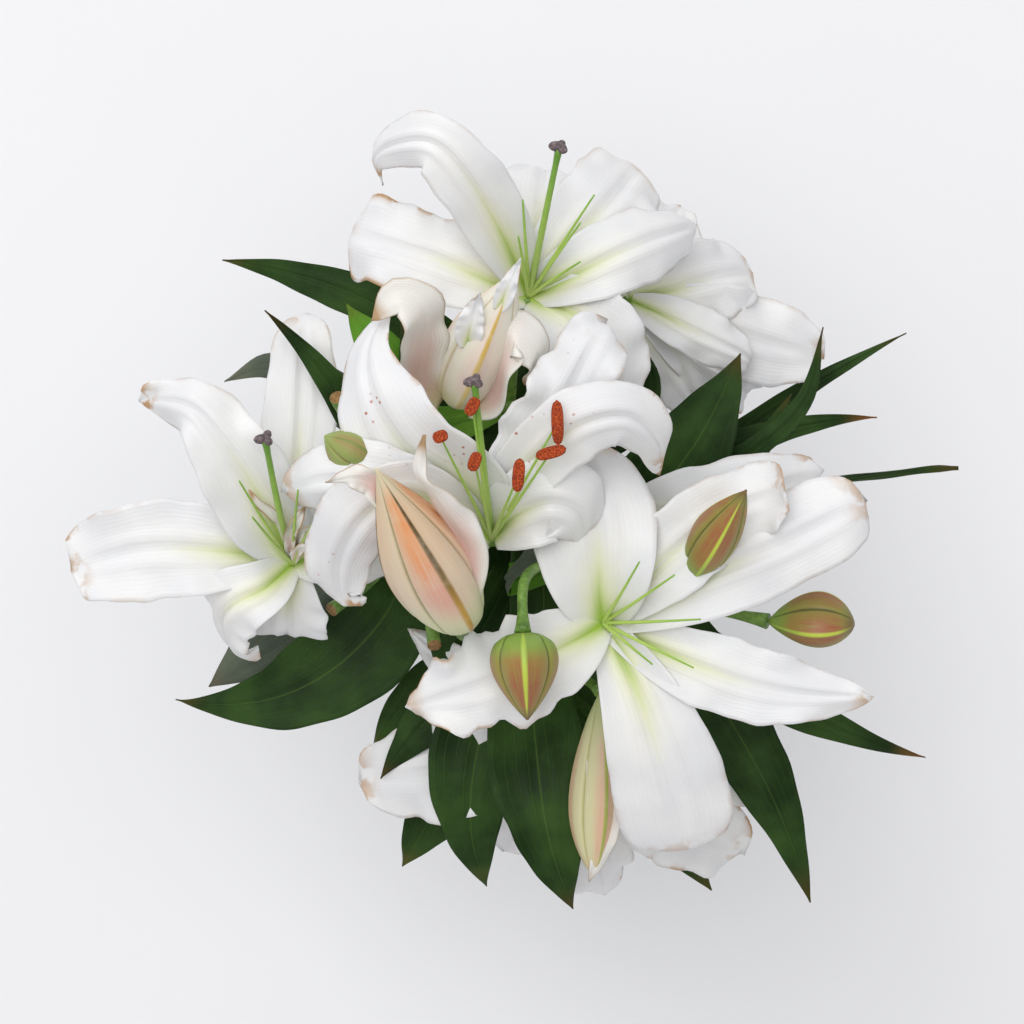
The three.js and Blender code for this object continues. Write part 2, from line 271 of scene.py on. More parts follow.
# The stalk of each bloom: the stem it leaves, how high it leaves it, a point it passes and its end.
# Heights are above the rim, in millimetres.
stalks = {
    "back_lily": ("back", 85, (5, 86, 125), (11, 108, 145)),
    "rear_lily": ("back", 60, (34, 88, 82), (60, 110, 92)),
    "centre_lily": ("left", 90, (-22, -10, 135), (-6, -4, 165)),
    "right_lily": ("right", 92, (40, -30, 125), (45, -43, 150)),
    "left_lily": ("left", 75, (-78, -14, 112), (-99, -16, 135)),
    "front_lily": ("front", 55, (25, -86, 72), (31, -108, 82)),
    "bud_opening_left": ("left", 80, (-20, -48, 160), (-18, -42, 190)),
    "bud_opening_back": ("back", 75, (-16, 58, 125), (-23, 59, 150)),
    "bud_small_front": ("right", 95, (9, -22, 190), (8, -45, 205)),
    "bud_small_right": ("right", 90, (85, -34, 110), (123, -43, 130)),
    "bud_green_right": ("right", 97, (66, -18, 135), (86, -20, 160)),
    "bud_half_open_front": ("front", 62, (36, -71, 98), (45, -76, 120)),
}


def over_rim(point):
    """The place of a point that is given in millimetres, with its height above the rim."""
    return Vector((point[0] * MM, point[1] * MM, rim + point[2] * MM))


def smooth_path(points, count):
    """Points along a smooth curve through the given points (centripetal Catmull-Rom)."""
    ends = [points[0] * 2 - points[1], *points, points[-1] * 2 - points[-2]]
    path = []
    for i in range(count + 1):
        at = (len(points) - 1) * i / count
        k = min(int(at), len(points) - 2)
        p0, p1, p2, p3 = ends[k:k + 4]
        d0, d1, d2 = ((a - b).length ** 0.5 for a, b in ((p1, p0), (p2, p1), (p3, p2)))
        t1 = ((p1 - p0) / d0 - (p2 - p0) / (d0 + d1) + (p2 - p1) / d1) * d1
        t2 = ((p2 - p1) / d1 - (p3 - p1) / (d1 + d2) + (p3 - p2) / d2) * d1
        t = at - k
        path.append(p1 * (2 * t**3 - 3 * t**2 + 1) + t1 * (t**3 - 2 * t**2 + t)
                    + p2 * (3 * t**2 - 2 * t**3) + t2 * (t**3 - t**2))
    return path


def stem_path(stem, count=90):
    """A stem's axis: from its foot against the wall, across to the rim, and up to its top."""
    lean_radius = inside - (stem_radius + stem_clearance) * MM

    def around(angle, height):
        return Vector((lean_radius * math.cos(math.radians(angle)),
                       lean_radius * math.sin(math.radians(angle)), height))

    foot = around(stem["lean"] + stem_twist, vase_floor)
    lean = around(stem["lean"], rim - rim_round)
    down = (foot - lean).normalized()
    foot -= down * foot_lift * MM
    past = lean - down * stem_past_rim * MM
    top = over_rim(stem["top"])
    past = past.lerp(Vector((top.x, top.y, past.z)), stem_give)
    return smooth_path([foot, foot.lerp(lean, 0.5), lean, past, top], count)


def on_stem(stem, height):
    """The point of a stem's axis at a height above the rim, in millimetres."""
    path = stem_path(stem, 360)
    return min(path, key=lambda p: abs(p.z - rim - height * MM))


def tube(path, radius_at, sides):
    """A closed tube along a path; radius_at gives its radius in metres at a share of its length."""
    points, faces = [], []
    side = None
    last = len(path) - 1
    for i, centre in enumerate(path):
        along = (path[min(i + 1, last)] - path[max(i - 1, 0)]).normalized()
        side = along.orthogonal() if side is None else side - along * side.dot(along)
        side.normalize()
        other = along.cross(side)
        radius = radius_at(i / last)
        for j in range(sides):
            angle = 2 * math.pi * j / sides
            points.append(centre + (side * math.cos(angle) + other * math.sin(angle)) * radius)
    for i in range(last):
        for j in range(sides):
            k = (j + 1) % sides
            faces.append((i * sides + j, i * sides + k, (i + 1) * sides + k, (i + 1) * sides + j))
    faces.append(tuple(reversed(range(sides))))
    faces.append(tuple(last * sides + j for j in range(sides)))
    return points, faces


def together(shells):
    """Several closed shells as one list of points and one of faces."""
    points, faces = [], []
    for shell_points, shell_faces in shells:
        start = len(points)
        points += shell_points
        faces += [tuple(start + i for i in face) for face in shell_faces]
    return points, faces


def ramp_between(nodes, stops):
    """A colour ramp node with these (place, colour) stops."""
    node = nodes.new("ShaderNodeValToRGB")
    elements = node.color_ramp.elements
    while len(elements) > 1:
        elements.remove(elements[-1])
    elements[0].position, elements[0].color = stops[0][0], (*stops[0][1], 1)
    for place, colour in stops[1:]:
        elements.new(place).color = (*colour, 1)
    return node


def mix_colours(nodes, links, share, first, second):
    """Mixes two colours, each a socket or a plain colour, by a share that is a socket or a number."""
    node = nodes.new("ShaderNodeMix")
    node.data_type = "RGBA"
    for place, given in ((0, share), (6, first), (7, second)):
        feed(links, node.inputs[place], given)
    return node.outputs[2]


def bumped(nodes, links, shader, height, strength, distance):
    """Raises a surface by a height that the material has worked out."""
    bump = nodes.new("ShaderNodeBump")
    bump.inputs["Strength"].default_value = strength
    bump.inputs["Distance"].default_value = distance
    links.new(height, bump.inputs["Height"])
    links.new(bump.outputs["Normal"], shader.inputs["Normal"])


def stem_material():
    """The skin of a stem: mottled mid green with darker fibres down its length."""
    made, nodes, links, shader, _ = material("stem_green")
    mottled = noise(nodes, links, 160, 5)
    ramp = ramp_between(nodes, [(0.3, (0.075, 0.16, 0.02)), (0.5, (0.16, 0.30, 0.045)),
                                (0.72, (0.25, 0.40, 0.08))])
    links.new(mottled, ramp.inputs["Fac"])
    stretched = nodes.new("ShaderNodeMapping")
    stretched.inputs["Scale"].default_value = (900, 900, 30)
    links.new(nodes.new("ShaderNodeTexCoord").outputs["Object"], stretched.inputs["Vector"])
    fibre = noise(nodes, links, 1, 2, stretched.outputs["Vector"])
    colour = mix_colours(nodes, links, 0.35, ramp.outputs["Color"], (0.05, 0.11, 0.015))
    streaks = ramp_between(nodes, [(0.42, (0, 0, 0)), (0.62, (1, 1, 1))])
    links.new(fibre, streaks.inputs["Fac"])
    links.new(mix_colours(nodes, links, streaks.outputs["Color"], colour, ramp.outputs["Color"]),
              shader.inputs["Base Color"])
    shader.inputs["Roughness"].default_value = 0.45
    bumped(nodes, links, shader, fibre, 0.35, 0.0003)
    return made


def cut_material():
    """The dried face of a cut stalk: brown at the skin, pale pith."""
    made, nodes, links, shader, _ = material("cut_stalk_face")
    pith = ramp_between(nodes, [(0.3, (0.16, 0.07, 0.02)), (0.6, (0.34, 0.20, 0.07)),
                                (0.8, (0.45, 0.32, 0.14))])
    links.new(noise(nodes, links, 500, 4), pith.inputs["Fac"])
    links.new(pith.outputs["Color"], shader.inputs["Base Color"])
    shader.inputs["Roughness"].default_value = 0.8
    return made


green_stem, cut_face = stem_material(), cut_material()
random_scars = random.Random(11)
scar_count, scar_gap, scar_swell, scar_width = 10, 0.093, 0.10, 0.006
stem_foot, stem_thins = 1.02, 0.10
seat_from = 0.86
for stem_name, stem in stems.items():
    scars = [random_scars.uniform(0.02, 0.05) + scar_gap * i for i in range(scar_count)]

    def stem_girth(t, scars=scars):
        swell = sum(scar_swell * math.exp(-((t - scar) / scar_width) ** 2) for scar in scars)
        return stem_radius * MM * (stem_foot - stem_thins * t) * (1 + swell)

    shells = [tube(stem_path(stem), stem_girth, 16)]
    for of_stem, leave, via, end in stalks.values():
        if of_stem != stem_name:
            continue
        start = on_stem(stem, leave - pedicel_root)
        passing, seat = over_rim(via), over_rim(end)
        fork = on_stem(stem, leave).lerp(passing, stem_give)

        def stalk_girth(t):
            swell = (seat_radius - pedicel_radius) * max(0.0, (t - seat_from) / (1 - seat_from)) ** 1.5
            return (pedicel_radius + swell + pedicel_thins * (1 - t)) * MM

        shells.append(tube(smooth_path([start, fork, passing, seat], 40), stalk_girth, 12))
    piece = built(f"stem_{stem_name}_grown", *together(shells))
    piece.data.materials.append(green_stem)
    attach(piece, "root")
    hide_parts(f"stem_{stem_name}")


# ---- The open blooms ----
# Six blooms of six tepals: three broad inner ones and three narrower outer ones, waxy white, with a
# groove down the middle that runs into a green throat. Margins are waved, tips roll back and brown.

inner_width, outer_width = 50, 38
inner_ring = {"width": inner_width, "base": 0.26, "widest": 0.58, "taper": 0.55}
outer_ring = {"width": outer_width, "base": 0.26, "widest": 0.5, "taper": 0.65}

lilies = {
    "back_lily": [
        (outer_ring, {"passes": [(-1, 134, 174), (-16, 156, 198), (-32, 171, 206), (-49, 172, 198),
                                 (-59, 167, 184), (-55, 157, 172)],
                      "broad": 0.84, "widest": 0.42, "taper": 0.7, "spread": -0.3, "ruffle": 1.6,
                      "dry_tip": 1}),
        (inner_ring, {"heading": 160, "length": 99, "rise": 40, "dip": -40, "taper": 0.3, "curl": -110,
                      "curl_from": 0.9, "broad": 0.82, "flare": 0.3, "ruffle": 4.2, "dry_edge": 0.9}),
        (inner_ring, {"heading": 82, "length": 100, "rise": 20, "dip": -100, "dry_edge": 0.8}),
        (inner_ring, {"heading": 50, "length": 105, "rise": 38, "dip": -80, "taper": 0.35, "ruffle": 2.4,
                      "broad": 0.92, "flare": 0.15}),
        (outer_ring, {"heading": 24, "length": 110, "rise": 52, "dip": -76, "spread": -0.6, "broad": 0.95,
                      "taper": 0.5, "ruffle": 1.2}),
        (outer_ring, {"heading": -12, "length": 87, "rise": 50, "dip": -70, "sweep": -85, "broad": 1.15,
                      "spread": -0.2}),
    ],
    "rear_lily": [
        (inner_ring, {"heading": 14, "length": 72, "rise": 30, "dip": -60, "broad": 0.82, "taper": 0.4}),
        (outer_ring, {"heading": -26, "length": 78, "rise": 42, "dip": -50, "broad": 0.66, "spread": -0.5,
                      "taper": 0.4, "curl": -60}),
        (inner_ring, {"heading": -16, "length": 102, "rise": 5, "dip": -30, "broad": 0.88, "taper": 0.35,
                      "ruffle": 4}),
        (inner_ring, {"heading": -36, "length": 95, "rise": -8, "dip": -50, "broad": 0.62, "curl": -90,
                      "ruffle": 4.5, "dry_edge": 0.9}),
        (outer_ring, {"heading": -54, "length": 88, "rise": -5, "dip": -60, "broad": 0.8, "ruffle": 4}),
        (outer_ring, {"heading": 62, "length": 75, "rise": 5, "dip": -75}),
    ],
    "centre_lily": [
        (inner_ring, {"passes": [(-22, 18, 190), (-44, 36, 204), (-58, 60, 208), (-61, 80, 202),
                                 (-54, 95, 196), (-44, 100, 190)],
                      "broad": 1.08, "widest": 0.34, "taper": 1.05, "roll": -10, "twist": -16, "ruffle": 2,
                      "dry_edge": 0.6}),
        (inner_ring, {"heading": 62, "length": 118, "rise": 35, "dip": -8, "taper": 0.4, "broad": 0.82,
                      "widest": 0.42, "ruffle": 5, "waves": 2.4, "flare": 0.25, "curl": -70, "curl_from": 0.9,
                      "scallop": 0.1}),
        (outer_ring, {"passes": [(11, 29, 200), (33, 46, 216), (54, 50, 214), (68, 39, 200), (70, 25, 180)],
                      "spread": -0.4, "taper": 0.6, "broad": 0.88, "ruffle": 1.4, "dry_tip": 1}),
        (outer_ring, {"passes": [(7, 8, 190), (20, 12, 197), (32, 8, 190), (36, -5, 172)], "spread": -0.4,
                      "taper": 0.45, "broad": 1.1, "widest": 0.6}),
        (outer_ring, {"passes": [(-33, 12, 195), (-57, 21, 206), (-80, 23, 200), (-99, 17, 184)],
                      "spread": -0.3, "taper": 0.4, "broad": 0.95, "widest": 0.6}),
        (inner_ring, {"passes": [(-29, 11, 196), (-46, 16, 208), (-64, 5, 205), (-75, -16, 186),
                                 (-72, -33, 170), (-63, -31, 174)],
                      "broad": 0.72, "taper": 0.6, "spread": -0.3, "dry_tip": 1, "dry_edge": 0.4}),
    ],
    "right_lily": [
        (inner_ring, {"heading": 96, "length": 96, "rise": 56, "dip": -42, "broad": 1.16, "taper": 0.4,
                      "ruffle": 0.8, "scallop": 0.01, "channel": 0.5, "spread": -0.3}),
        (outer_ring, {"heading": 50, "length": 114, "rise": 30, "dip": -28, "sweep": -36, "bend": 1.6,
                      "ruffle": 4, "taper": 0.35, "broad": 1.05, "curl": 120, "curl_from": 0.78,
                      "flare": 0.15}),
        (inner_ring, {"heading": 25, "length": 138, "rise": 25, "dip": -8, "broad": 0.88, "taper": 0.3,
                      "curl": -70, "curl_from": 0.93, "ruffle": 1.4, "scallop": 0.015, "spread": -0.2,
                      "ridge": 1.8, "flare": 0.12}),
        (outer_ring, {"heading": -27, "length": 132, "rise": 16, "dip": -12, "sweep": 32, "bend": 1.6,
                      "broad": 0.95, "taper": 0.75, "curl": 70, "curl_from": 0.86, "dry_tip": 0.5}),
        (inner_ring, {"heading": -61, "length": 126, "rise": 25, "dip": -42, "sweep": -20, "broad": 1.08,
                      "base": 0.2, "widest": 0.74, "taper": 0.28, "ridge": 2, "spread": -0.22, "curl": -70,
                      "curl_from": 0.93, "ruffle": 0.8, "scallop": 0.01, "flare": 0.06}),
        (outer_ring, {"heading": 212, "length": 108, "rise": 50, "dip": -22, "sweep": -18, "broad": 1.2,
                      "widest": 0.5, "taper": 0.6, "ruffle": 5, "waves": 2.6, "scallop": 0.14,
                      "dry_edge": 0.6}),
    ],
    "left_lily": [
        (inner_ring, {"heading": 162, "length": 108, "rise": 30, "dip": -20, "sweep": 38, "broad": 0.92,
                      "taper": 0.2, "spread": 0.1, "ruffle": 2, "scallop": 0.03}),
        (outer_ring, {"passes": [(-111, 11, 162), (-125, 37, 176), (-140, 55, 178), (-156, 59, 170),
                                 (-168, 59, 160)],
                      "broad": 1.08, "widest": 0.34, "taper": 0.85, "ruffle": 4, "flare": 0.3, "dry_tip": 1}),
        (inner_ring, {"heading": 87, "length": 122, "rise": 10, "dip": -5, "broad": 0.70, "taper": 0.4,
                      "curl": -60, "ruffle": 1.6}),
        (outer_ring, {"heading": 18, "length": 78, "rise": 48, "dip": -60}),
        (inner_ring, {"heading": -98, "length": 54, "rise": 12, "dip": -95, "broad": 0.8, "ruffle": 3}),
        (outer_ring, {"passes": [(-112, -27, 150), (-125, -34, 150), (-133, -43, 138), (-130, -56, 120),
                                 (-118, -62, 108)],
                      "broad": 0.9, "taper": 0.5, "spread": -0.5, "ruffle": 4.5}),
    ],
    "front_lily": [
        (inner_ring, {"heading": 189, "length": 108, "rise": 6, "dip": -30, "ruffle": 4, "taper": 0.35}),
        (outer_ring, {"heading": 143, "length": 102, "rise": 20, "dip": -30, "broad": 0.6}),
        (inner_ring, {"heading": 240, "length": 88, "rise": -20, "dip": -64, "ruffle": 2}),
        (outer_ring, {"heading": -76, "length": 90, "rise": -5, "dip": -50, "ruffle": 4, "taper": 0.4}),
        (inner_ring, {"heading": -32, "length": 110, "rise": 2, "dip": -40, "ruffle": 4.5, "taper": 0.4,
                      "dry_edge": 0.7}),
        (outer_ring, {"heading": -9, "length": 123, "rise": 5, "dip": -40}),
    ],
}

blade_habit = {
    "sweep": 0, "bend": 1, "roll": 0, "twist": 0, "broad": 1, "channel": 0.34, "spread": -0.12,
    "groove": 1.8, "ridge": 1.3, "ruffle": 2.8, "waves": 2.0, "scallop": 0.04, "flare": 0, "curl": 0,
    "curl_from": 0.8, "curl_turn": 0, "thick": 0.9, "dry_tip": 0.4, "dry_edge": 0.22,
}


def eased(low, high, value):
    """A smooth step from 0 at `low` to 1 at `high`."""
    share = np.clip((value - low) / (high - low), 0, 1)
    return share * share * (3 - 2 * share)


def passing_frame(points, steps):
    """The spine through the given points, with its sideways and face directions carried along it."""
    spine = np.array([tuple(p) for p in smooth_path(points, steps)])
    gone = np.concatenate([[0], np.cumsum(np.linalg.norm(np.diff(spine, axis=0), axis=1))])
    even = np.linspace(0, gone[-1], steps + 1)
    spine = np.stack([np.interp(even, gone, spine[:, k]) for k in range(3)], 1)
    along = np.gradient(spine, axis=0)
    along /= np.linalg.norm(along, axis=1)[:, None]
    side = np.zeros_like(spine)
    carried_side = np.array([-along[0][1], along[0][0], 0.0])
    for i, ahead in enumerate(along):
        carried_side = carried_side - ahead * np.dot(carried_side, ahead)
        carried_side /= np.linalg.norm(carried_side)
        side[i] = carried_side
    return spine, side, np.cross(along, side)


# The middle groove and the ridges beside it, as shares of the half width, and how far the edge and
# the tip are thinned.
groove_width, ridge_place, ridge_width = 0.11, 0.24, 0.11
edge_thins, tip_thins = 0.55, 0.35


def blade(name, foot, shape, rows=44, columns=18):
    """A tepal or a leaf as a thin closed shell. It leaves its foot along `heading` at `rise` degrees
    above level and has turned by `sweep` and dropped to `dip` at its tip. Each point carries its
    place across (-1 to 1) and along (0 to 1), how dry it is, and whether it is the underside."""
    s = {**blade_habit, **shape}
    chance = random.Random(name)
    fine = 6
    steps = rows * fine
    t = np.linspace(0, 1, steps + 1)
    if "passes" in s:
        spine, side, face = passing_frame([Vector(foot), *map(over_rim, s["passes"])], steps)
    else:
        turn = t ** s["bend"]
        late = np.clip((t - s["curl_from"]) / (1 - s["curl_from"]), 0, 1) ** 1.3
        heading = np.radians(s["heading"] + s["sweep"] * turn + s["curl_turn"] * late)
        lift = np.radians(s["rise"] + (s["dip"] - s["rise"]) * turn + s["curl"] * late)
        along = np.stack([np.cos(lift) * np.cos(heading), np.cos(lift) * np.sin(heading), np.sin(lift)], 1)
        gone = np.vstack([np.zeros(3), np.cumsum(along[1:], 0)])
        spine = np.array(foot) + gone * (s["length"] * MM / steps)
        side = np.stack([-np.sin(heading), np.cos(heading), np.zeros_like(heading)], 1)
        face = np.cross(along, side)
    roll = np.radians(s["roll"] + s["twist"] * t)[:, None]
    side, face = side * np.cos(roll) + face * np.sin(roll), face * np.cos(roll) - side * np.sin(roll)

    v = np.linspace(-1, 1, columns + 1)
    v = np.sign(v) * np.abs(v) ** 0.9
    pick = slice(0, steps + 1, fine)
    t, spine, side, face = t[pick], spine[pick], side[pick], face[pick]
    rising = s["base"] + (1 - s["base"]) * np.sin(np.pi / 2 * np.clip(t / s["widest"], 0, 1))
    falling = np.cos(np.pi / 2 * np.clip((t - s["widest"]) / (1 - s["widest"]), 0, 1)) ** s["taper"]
    half = s["width"] * s["broad"] / 2 * MM * np.where(t < s["widest"], rising, falling)
    half = half * (1 + s["flare"] * eased(0.72, 0.9, t))
    half = np.maximum(half, 0.25 * MM)
    T, V = np.meshgrid(t, v, indexing="ij")
    H = half[:, None]
    cup = s["channel"] + (s["spread"] - s["channel"]) * eased(0.1, 0.8, T)
    height = cup * H * V**2
    groove = np.exp(-(V / groove_width) ** 2) * eased(0, 0.12, T) * (1 - eased(0.75, 1, T))
    ridge = np.exp(-((np.abs(V) - ridge_place) / ridge_width) ** 2)
    ridge = ridge * eased(0.05, 0.3, T) * (1 - eased(0.7, 0.98, T))
    height = height - s["groove"] * MM * groove + s["ridge"] * MM * ridge
    swell = eased(0.2, 0.6, T) * (1 - 0.5 * eased(0.93, 1, T))
    outline = np.ones_like(T)
    for edge in (-1, 1):
        phase, waves = chance.uniform(0, 6.28), s["waves"] * chance.uniform(0.8, 1.25)
        turns = 2 * np.pi * waves * T
        wave = np.sin(turns + phase) + 0.45 * np.sin(2.3 * turns + 2 * phase)
        near = eased(0.25, 1, V * edge)
        height = height + s["ruffle"] * MM * wave * near * swell
        beat = np.sin(1.7 * turns + 3 * phase) + 0.5 * np.sin(3.9 * turns + phase)
        outline = outline + s["scallop"] * beat * near * swell
    phase = chance.uniform(0, 6.28)
    height = height + 0.35 * s["ruffle"] * MM * np.sin(2 * np.pi * 1.3 * T + phase + V) * swell
    across = V + 0.03 * np.sin(9 * T + phase) * (1 - V**2)
    across = across * outline
    middle = spine[:, None, :] + side[:, None, :] * (across * H)[..., None]
    middle = middle + face[:, None, :] * height[..., None]
    normal = np.cross(np.gradient(middle, axis=0), np.gradient(middle, axis=1))
    normal /= np.maximum(np.linalg.norm(normal, axis=2, keepdims=True), 1e-12)
    thick = s["thick"] * MM * (1 - edge_thins * V**4) * (1 - tip_thins * T)
    top = middle + normal * thick[..., None] / 2
    bottom = middle - normal * thick[..., None] / 2

    dry = s["dry_tip"] * eased(0.88, 1, T) + s["dry_edge"] * eased(0.86, 1, np.abs(V)) * eased(0.3, 0.9, T)
    wide = columns + 1
    layer = (rows + 1) * wide
    points = np.vstack([top.reshape(-1, 3), bottom.reshape(-1, 3)])
    faces = []
    for i in range(rows):
        for j in range(columns):
            a, b = i * wide + j, (i + 1) * wide + j
            faces.append((a, b, b + 1, a + 1))
            faces.append((layer + a, layer + a + 1, layer + b + 1, layer + b))
    rim_loop = list(range(wide)) + [i * wide + columns for i in range(1, rows + 1)]
    rim_loop += [rows * wide + j for j in range(columns - 1, -1, -1)]
    rim_loop += [i * wide for i in range(rows - 1, 0, -1)]
    for a, b in zip(rim_loop, rim_loop[1:] + rim_loop[:1]):
        faces.append((a, b, layer + b, layer + a))
    values = {
        "across": np.tile(V.ravel(), 2), "along": np.tile(T.ravel(), 2), "dry": np.tile(dry.ravel(), 2),
        "under": np.repeat([0.0, 1.0], layer),
    }
    flip = [tuple(reversed(f)) for f in faces]
    return built(name, points, flip, values)


def carried(nodes, name):
    """A value that the mesh's points carry."""
    node = nodes.new("ShaderNodeAttribute")
    node.attribute_name = name
    return node.outputs["Fac"]


def counted(nodes, links, operation, first, second=None, clamp=False):
    """One step of arithmetic on sockets and numbers."""
    node = nodes.new("ShaderNodeMath")
    node.operation = operation
    node.use_clamp = clamp
    for socket, given in zip(node.inputs, (first, second)):
        feed(links, socket, given)
    return node.outputs[0]


def times(nodes, links, first, second, clamp=False):
    """The product of two sockets, or of a socket and a number."""
    return counted(nodes, links, "MULTIPLY", first, second, clamp)


def stepped(nodes, links, value, low, high, to_low=0.0, to_high=1.0):
    """A smooth step of a value: to_low at `low`, to_high at `high`."""
    node = nodes.new("ShaderNodeMapRange")
    node.interpolation_type = "SMOOTHSTEP"
    given = {"Value": value, "From Min": low, "From Max": high, "To Min": to_low, "To Max": to_high}
    for key, one in given.items():
        feed(links, node.inputs[key], one)
    return node.outputs["Result"]


def vein_effect():
    """Parallel veins that run the length of a petal or leaf and close up towards its tip."""
    group, nodes, links, given, result = effect(
        "parallel_veins", {"Across": 0.0, "Along": 0.0, "Count": 9.0, "Waver": 0.3, "Width": 0.25},
        {"Mask": "Float"})
    where = nodes.new("ShaderNodeCombineXYZ")
    links.new(given["Across"], where.inputs["X"])
    links.new(given["Along"], where.inputs["Y"])
    drift = noise(nodes, links, 3.5, 2, where.outputs["Vector"])
    shift = times(nodes, links, counted(nodes, links, "SUBTRACT", drift, 0.5), given["Waver"])
    place = counted(nodes, links, "ADD", given["Across"], shift)
    folded = counted(nodes, links, "PINGPONG", times(nodes, links, place, given["Count"]), 0.5)
    from_line = counted(nodes, links, "DIVIDE", folded, given["Width"], clamp=True)
    links.new(counted(nodes, links, "SUBTRACT", 1.0, from_line), result["Mask"])
    return group


def clouding_effect():
    """A soft cloud of a second tone over a first one."""
    group, nodes, links, given, result = effect(
        "clouding", {"Scale": 30.0, "Detail": 3.0, "From": 0.3, "To": 0.7,
                     "First": (0.8, 0.8, 0.8), "Second": (0.85, 0.85, 0.85)},
        {"Cloud": "Float", "Colour": "Color"})
    cloud = noise(nodes, links, given["Scale"], given["Detail"])
    share = stepped(nodes, links, cloud, given["From"], given["To"])
    links.new(cloud, result["Cloud"])
    links.new(mix_colours(nodes, links, share, given["First"], given["Second"]), result["Colour"])
    return group


def drying_effect():
    """The brown that a margin or a tip takes on where it has dried, broken up into spots."""
    group, nodes, links, given, result = effect(
        "dried_margin", {"Colour": (0.8, 0.8, 0.8), "Brown": (0.46, 0.24, 0.08), "Dry": 0.0, "Spots": 0.5,
                         "From": 0.25, "To": 0.5, "Strength": 1.0, "Limit": 1.0},
        {"Colour": "Color"})
    spots = stepped(nodes, links, given["Spots"], given["From"], given["To"], 0.0, given["Strength"])
    share = counted(nodes, links, "MINIMUM", times(nodes, links, given["Dry"], spots), given["Limit"])
    links.new(mix_colours(nodes, links, share, given["Colour"], given["Brown"]), result["Colour"])
    return group


veins, clouding, dried_margin = vein_effect(), clouding_effect(), drying_effect()


def veined(nodes, links, count, waver, width):
    """The parallel veins of a blade, as a mask."""
    return placed(nodes, links, veins, Across=carried(nodes, "across"), Along=carried(nodes, "along"),
                  Count=count, Waver=waver, Width=width)["Mask"]


def tepal_material(name, pollen=0.0):
    """White waxy petal: green throat, cream heart, grey veins, tan where it has bruised."""
    made, nodes, links, shader, _ = material(name)
    across, along, dry = (carried(nodes, key) for key in ("across", "along", "dry"))
    off_middle = counted(nodes, links, "ABSOLUTE", across)
    tones = placed(nodes, links, clouding, Scale=28.0, From=0.35, First=(0.76, 0.76, 0.775),
                   Second=(0.84, 0.835, 0.825))
    heart = times(nodes, links, stepped(nodes, links, along, 0.75, 0.1),
                  stepped(nodes, links, off_middle, 0.8, 0.1), clamp=True)
    colour = mix_colours(nodes, links, times(nodes, links, heart, 0.55), tones["Colour"], (0.82, 0.79, 0.64))
    fine_veins = veined(nodes, links, 11.0, 0.2, 0.45)
    colour = mix_colours(nodes, links, times(nodes, links, fine_veins, 0.07), colour, (0.58, 0.60, 0.54))
    flame = counted(nodes, links, "ADD", off_middle, times(nodes, links, along, 1.7))
    flame = counted(nodes, links, "ADD", flame, times(nodes, links, tones["Cloud"], 0.25))
    throat = stepped(nodes, links, flame, 0.85, 0.2)
    rib = times(nodes, links, stepped(nodes, links, off_middle, 0.13, 0.02),
                stepped(nodes, links, along, 0.62, 0.12), clamp=True)
    colour = mix_colours(nodes, links, times(nodes, links, rib, 0.45), colour, (0.62, 0.71, 0.28))
    glow = times(nodes, links, stepped(nodes, links, flame, 1.25, 0.45), 0.75)
    colour = mix_colours(nodes, links, glow, colour, (0.74, 0.77, 0.42))
    colour = mix_colours(nodes, links, throat, colour, (0.34, 0.52, 0.05))
    colour = placed(nodes, links, dried_margin, Colour=colour, Dry=dry, Spots=noise(nodes, links, 90, 4),
                    From=0.46, To=0.58, Strength=1.7, Limit=0.92)["Colour"]
    if pollen:
        dots = nodes.new("ShaderNodeTexVoronoi")
        dots.inputs["Scale"].default_value = 210
        links.new(nodes.new("ShaderNodeTexCoord").outputs["Object"], dots.inputs["Vector"])
        patch = stepped(nodes, links, noise(nodes, links, 40, 2), 0.56, 0.66)
        speck = times(nodes, links, stepped(nodes, links, dots.outputs["Distance"], 0.20, 0.10), patch)
        speck = times(nodes, links, speck, stepped(nodes, links, along, 0.95, 0.6))
        colour = mix_colours(nodes, links, times(nodes, links, speck, pollen, clamp=True), colour,
                             (0.42, 0.09, 0.02))
    links.new(colour, shader.inputs["Base Color"])
    shader.inputs["Roughness"].default_value = 0.5
    shader.inputs["Subsurface Weight"].default_value = 0.12
    shader.inputs["Subsurface Radius"].default_value = (1.0, 0.9, 0.75)
    shader.inputs["Subsurface Scale"].default_value = 0.003
    shader.inputs["Sheen Weight"].default_value = 0.12
    relief = times(nodes, links, fine_veins, -0.35)
    relief = counted(nodes, links, "ADD", relief, times(nodes, links, noise(nodes, links, 260, 3), 0.5))
    bumped(nodes, links, shader, relief, 0.36, 0.0004)
    return made


white_petal = tepal_material("white_petal")
dusted_petal = tepal_material("pollen_dusted_petal", pollen=0.9)

for lily_name, tepals in lilies.items():
    seat = over_rim(stalks[lily_name][3])
    for number, (ring, habit) in enumerate(tepals, 1):
        node = f"{lily_name}_tepal_{number}"
        piece = blade(f"{node}_petal", seat, {**ring, **habit})
        piece.data.materials.append(dusted_petal if lily_name == "centre_lily" else white_petal)
        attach(piece, "root")
        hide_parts(node)


# ---- The stamens and pistils ----
# Each bloom holds a style ending in a three-lobed stigma, and thin green filaments. On the middle
# bloom the filaments still swing their rust-orange anthers; on the others the anthers were taken off.

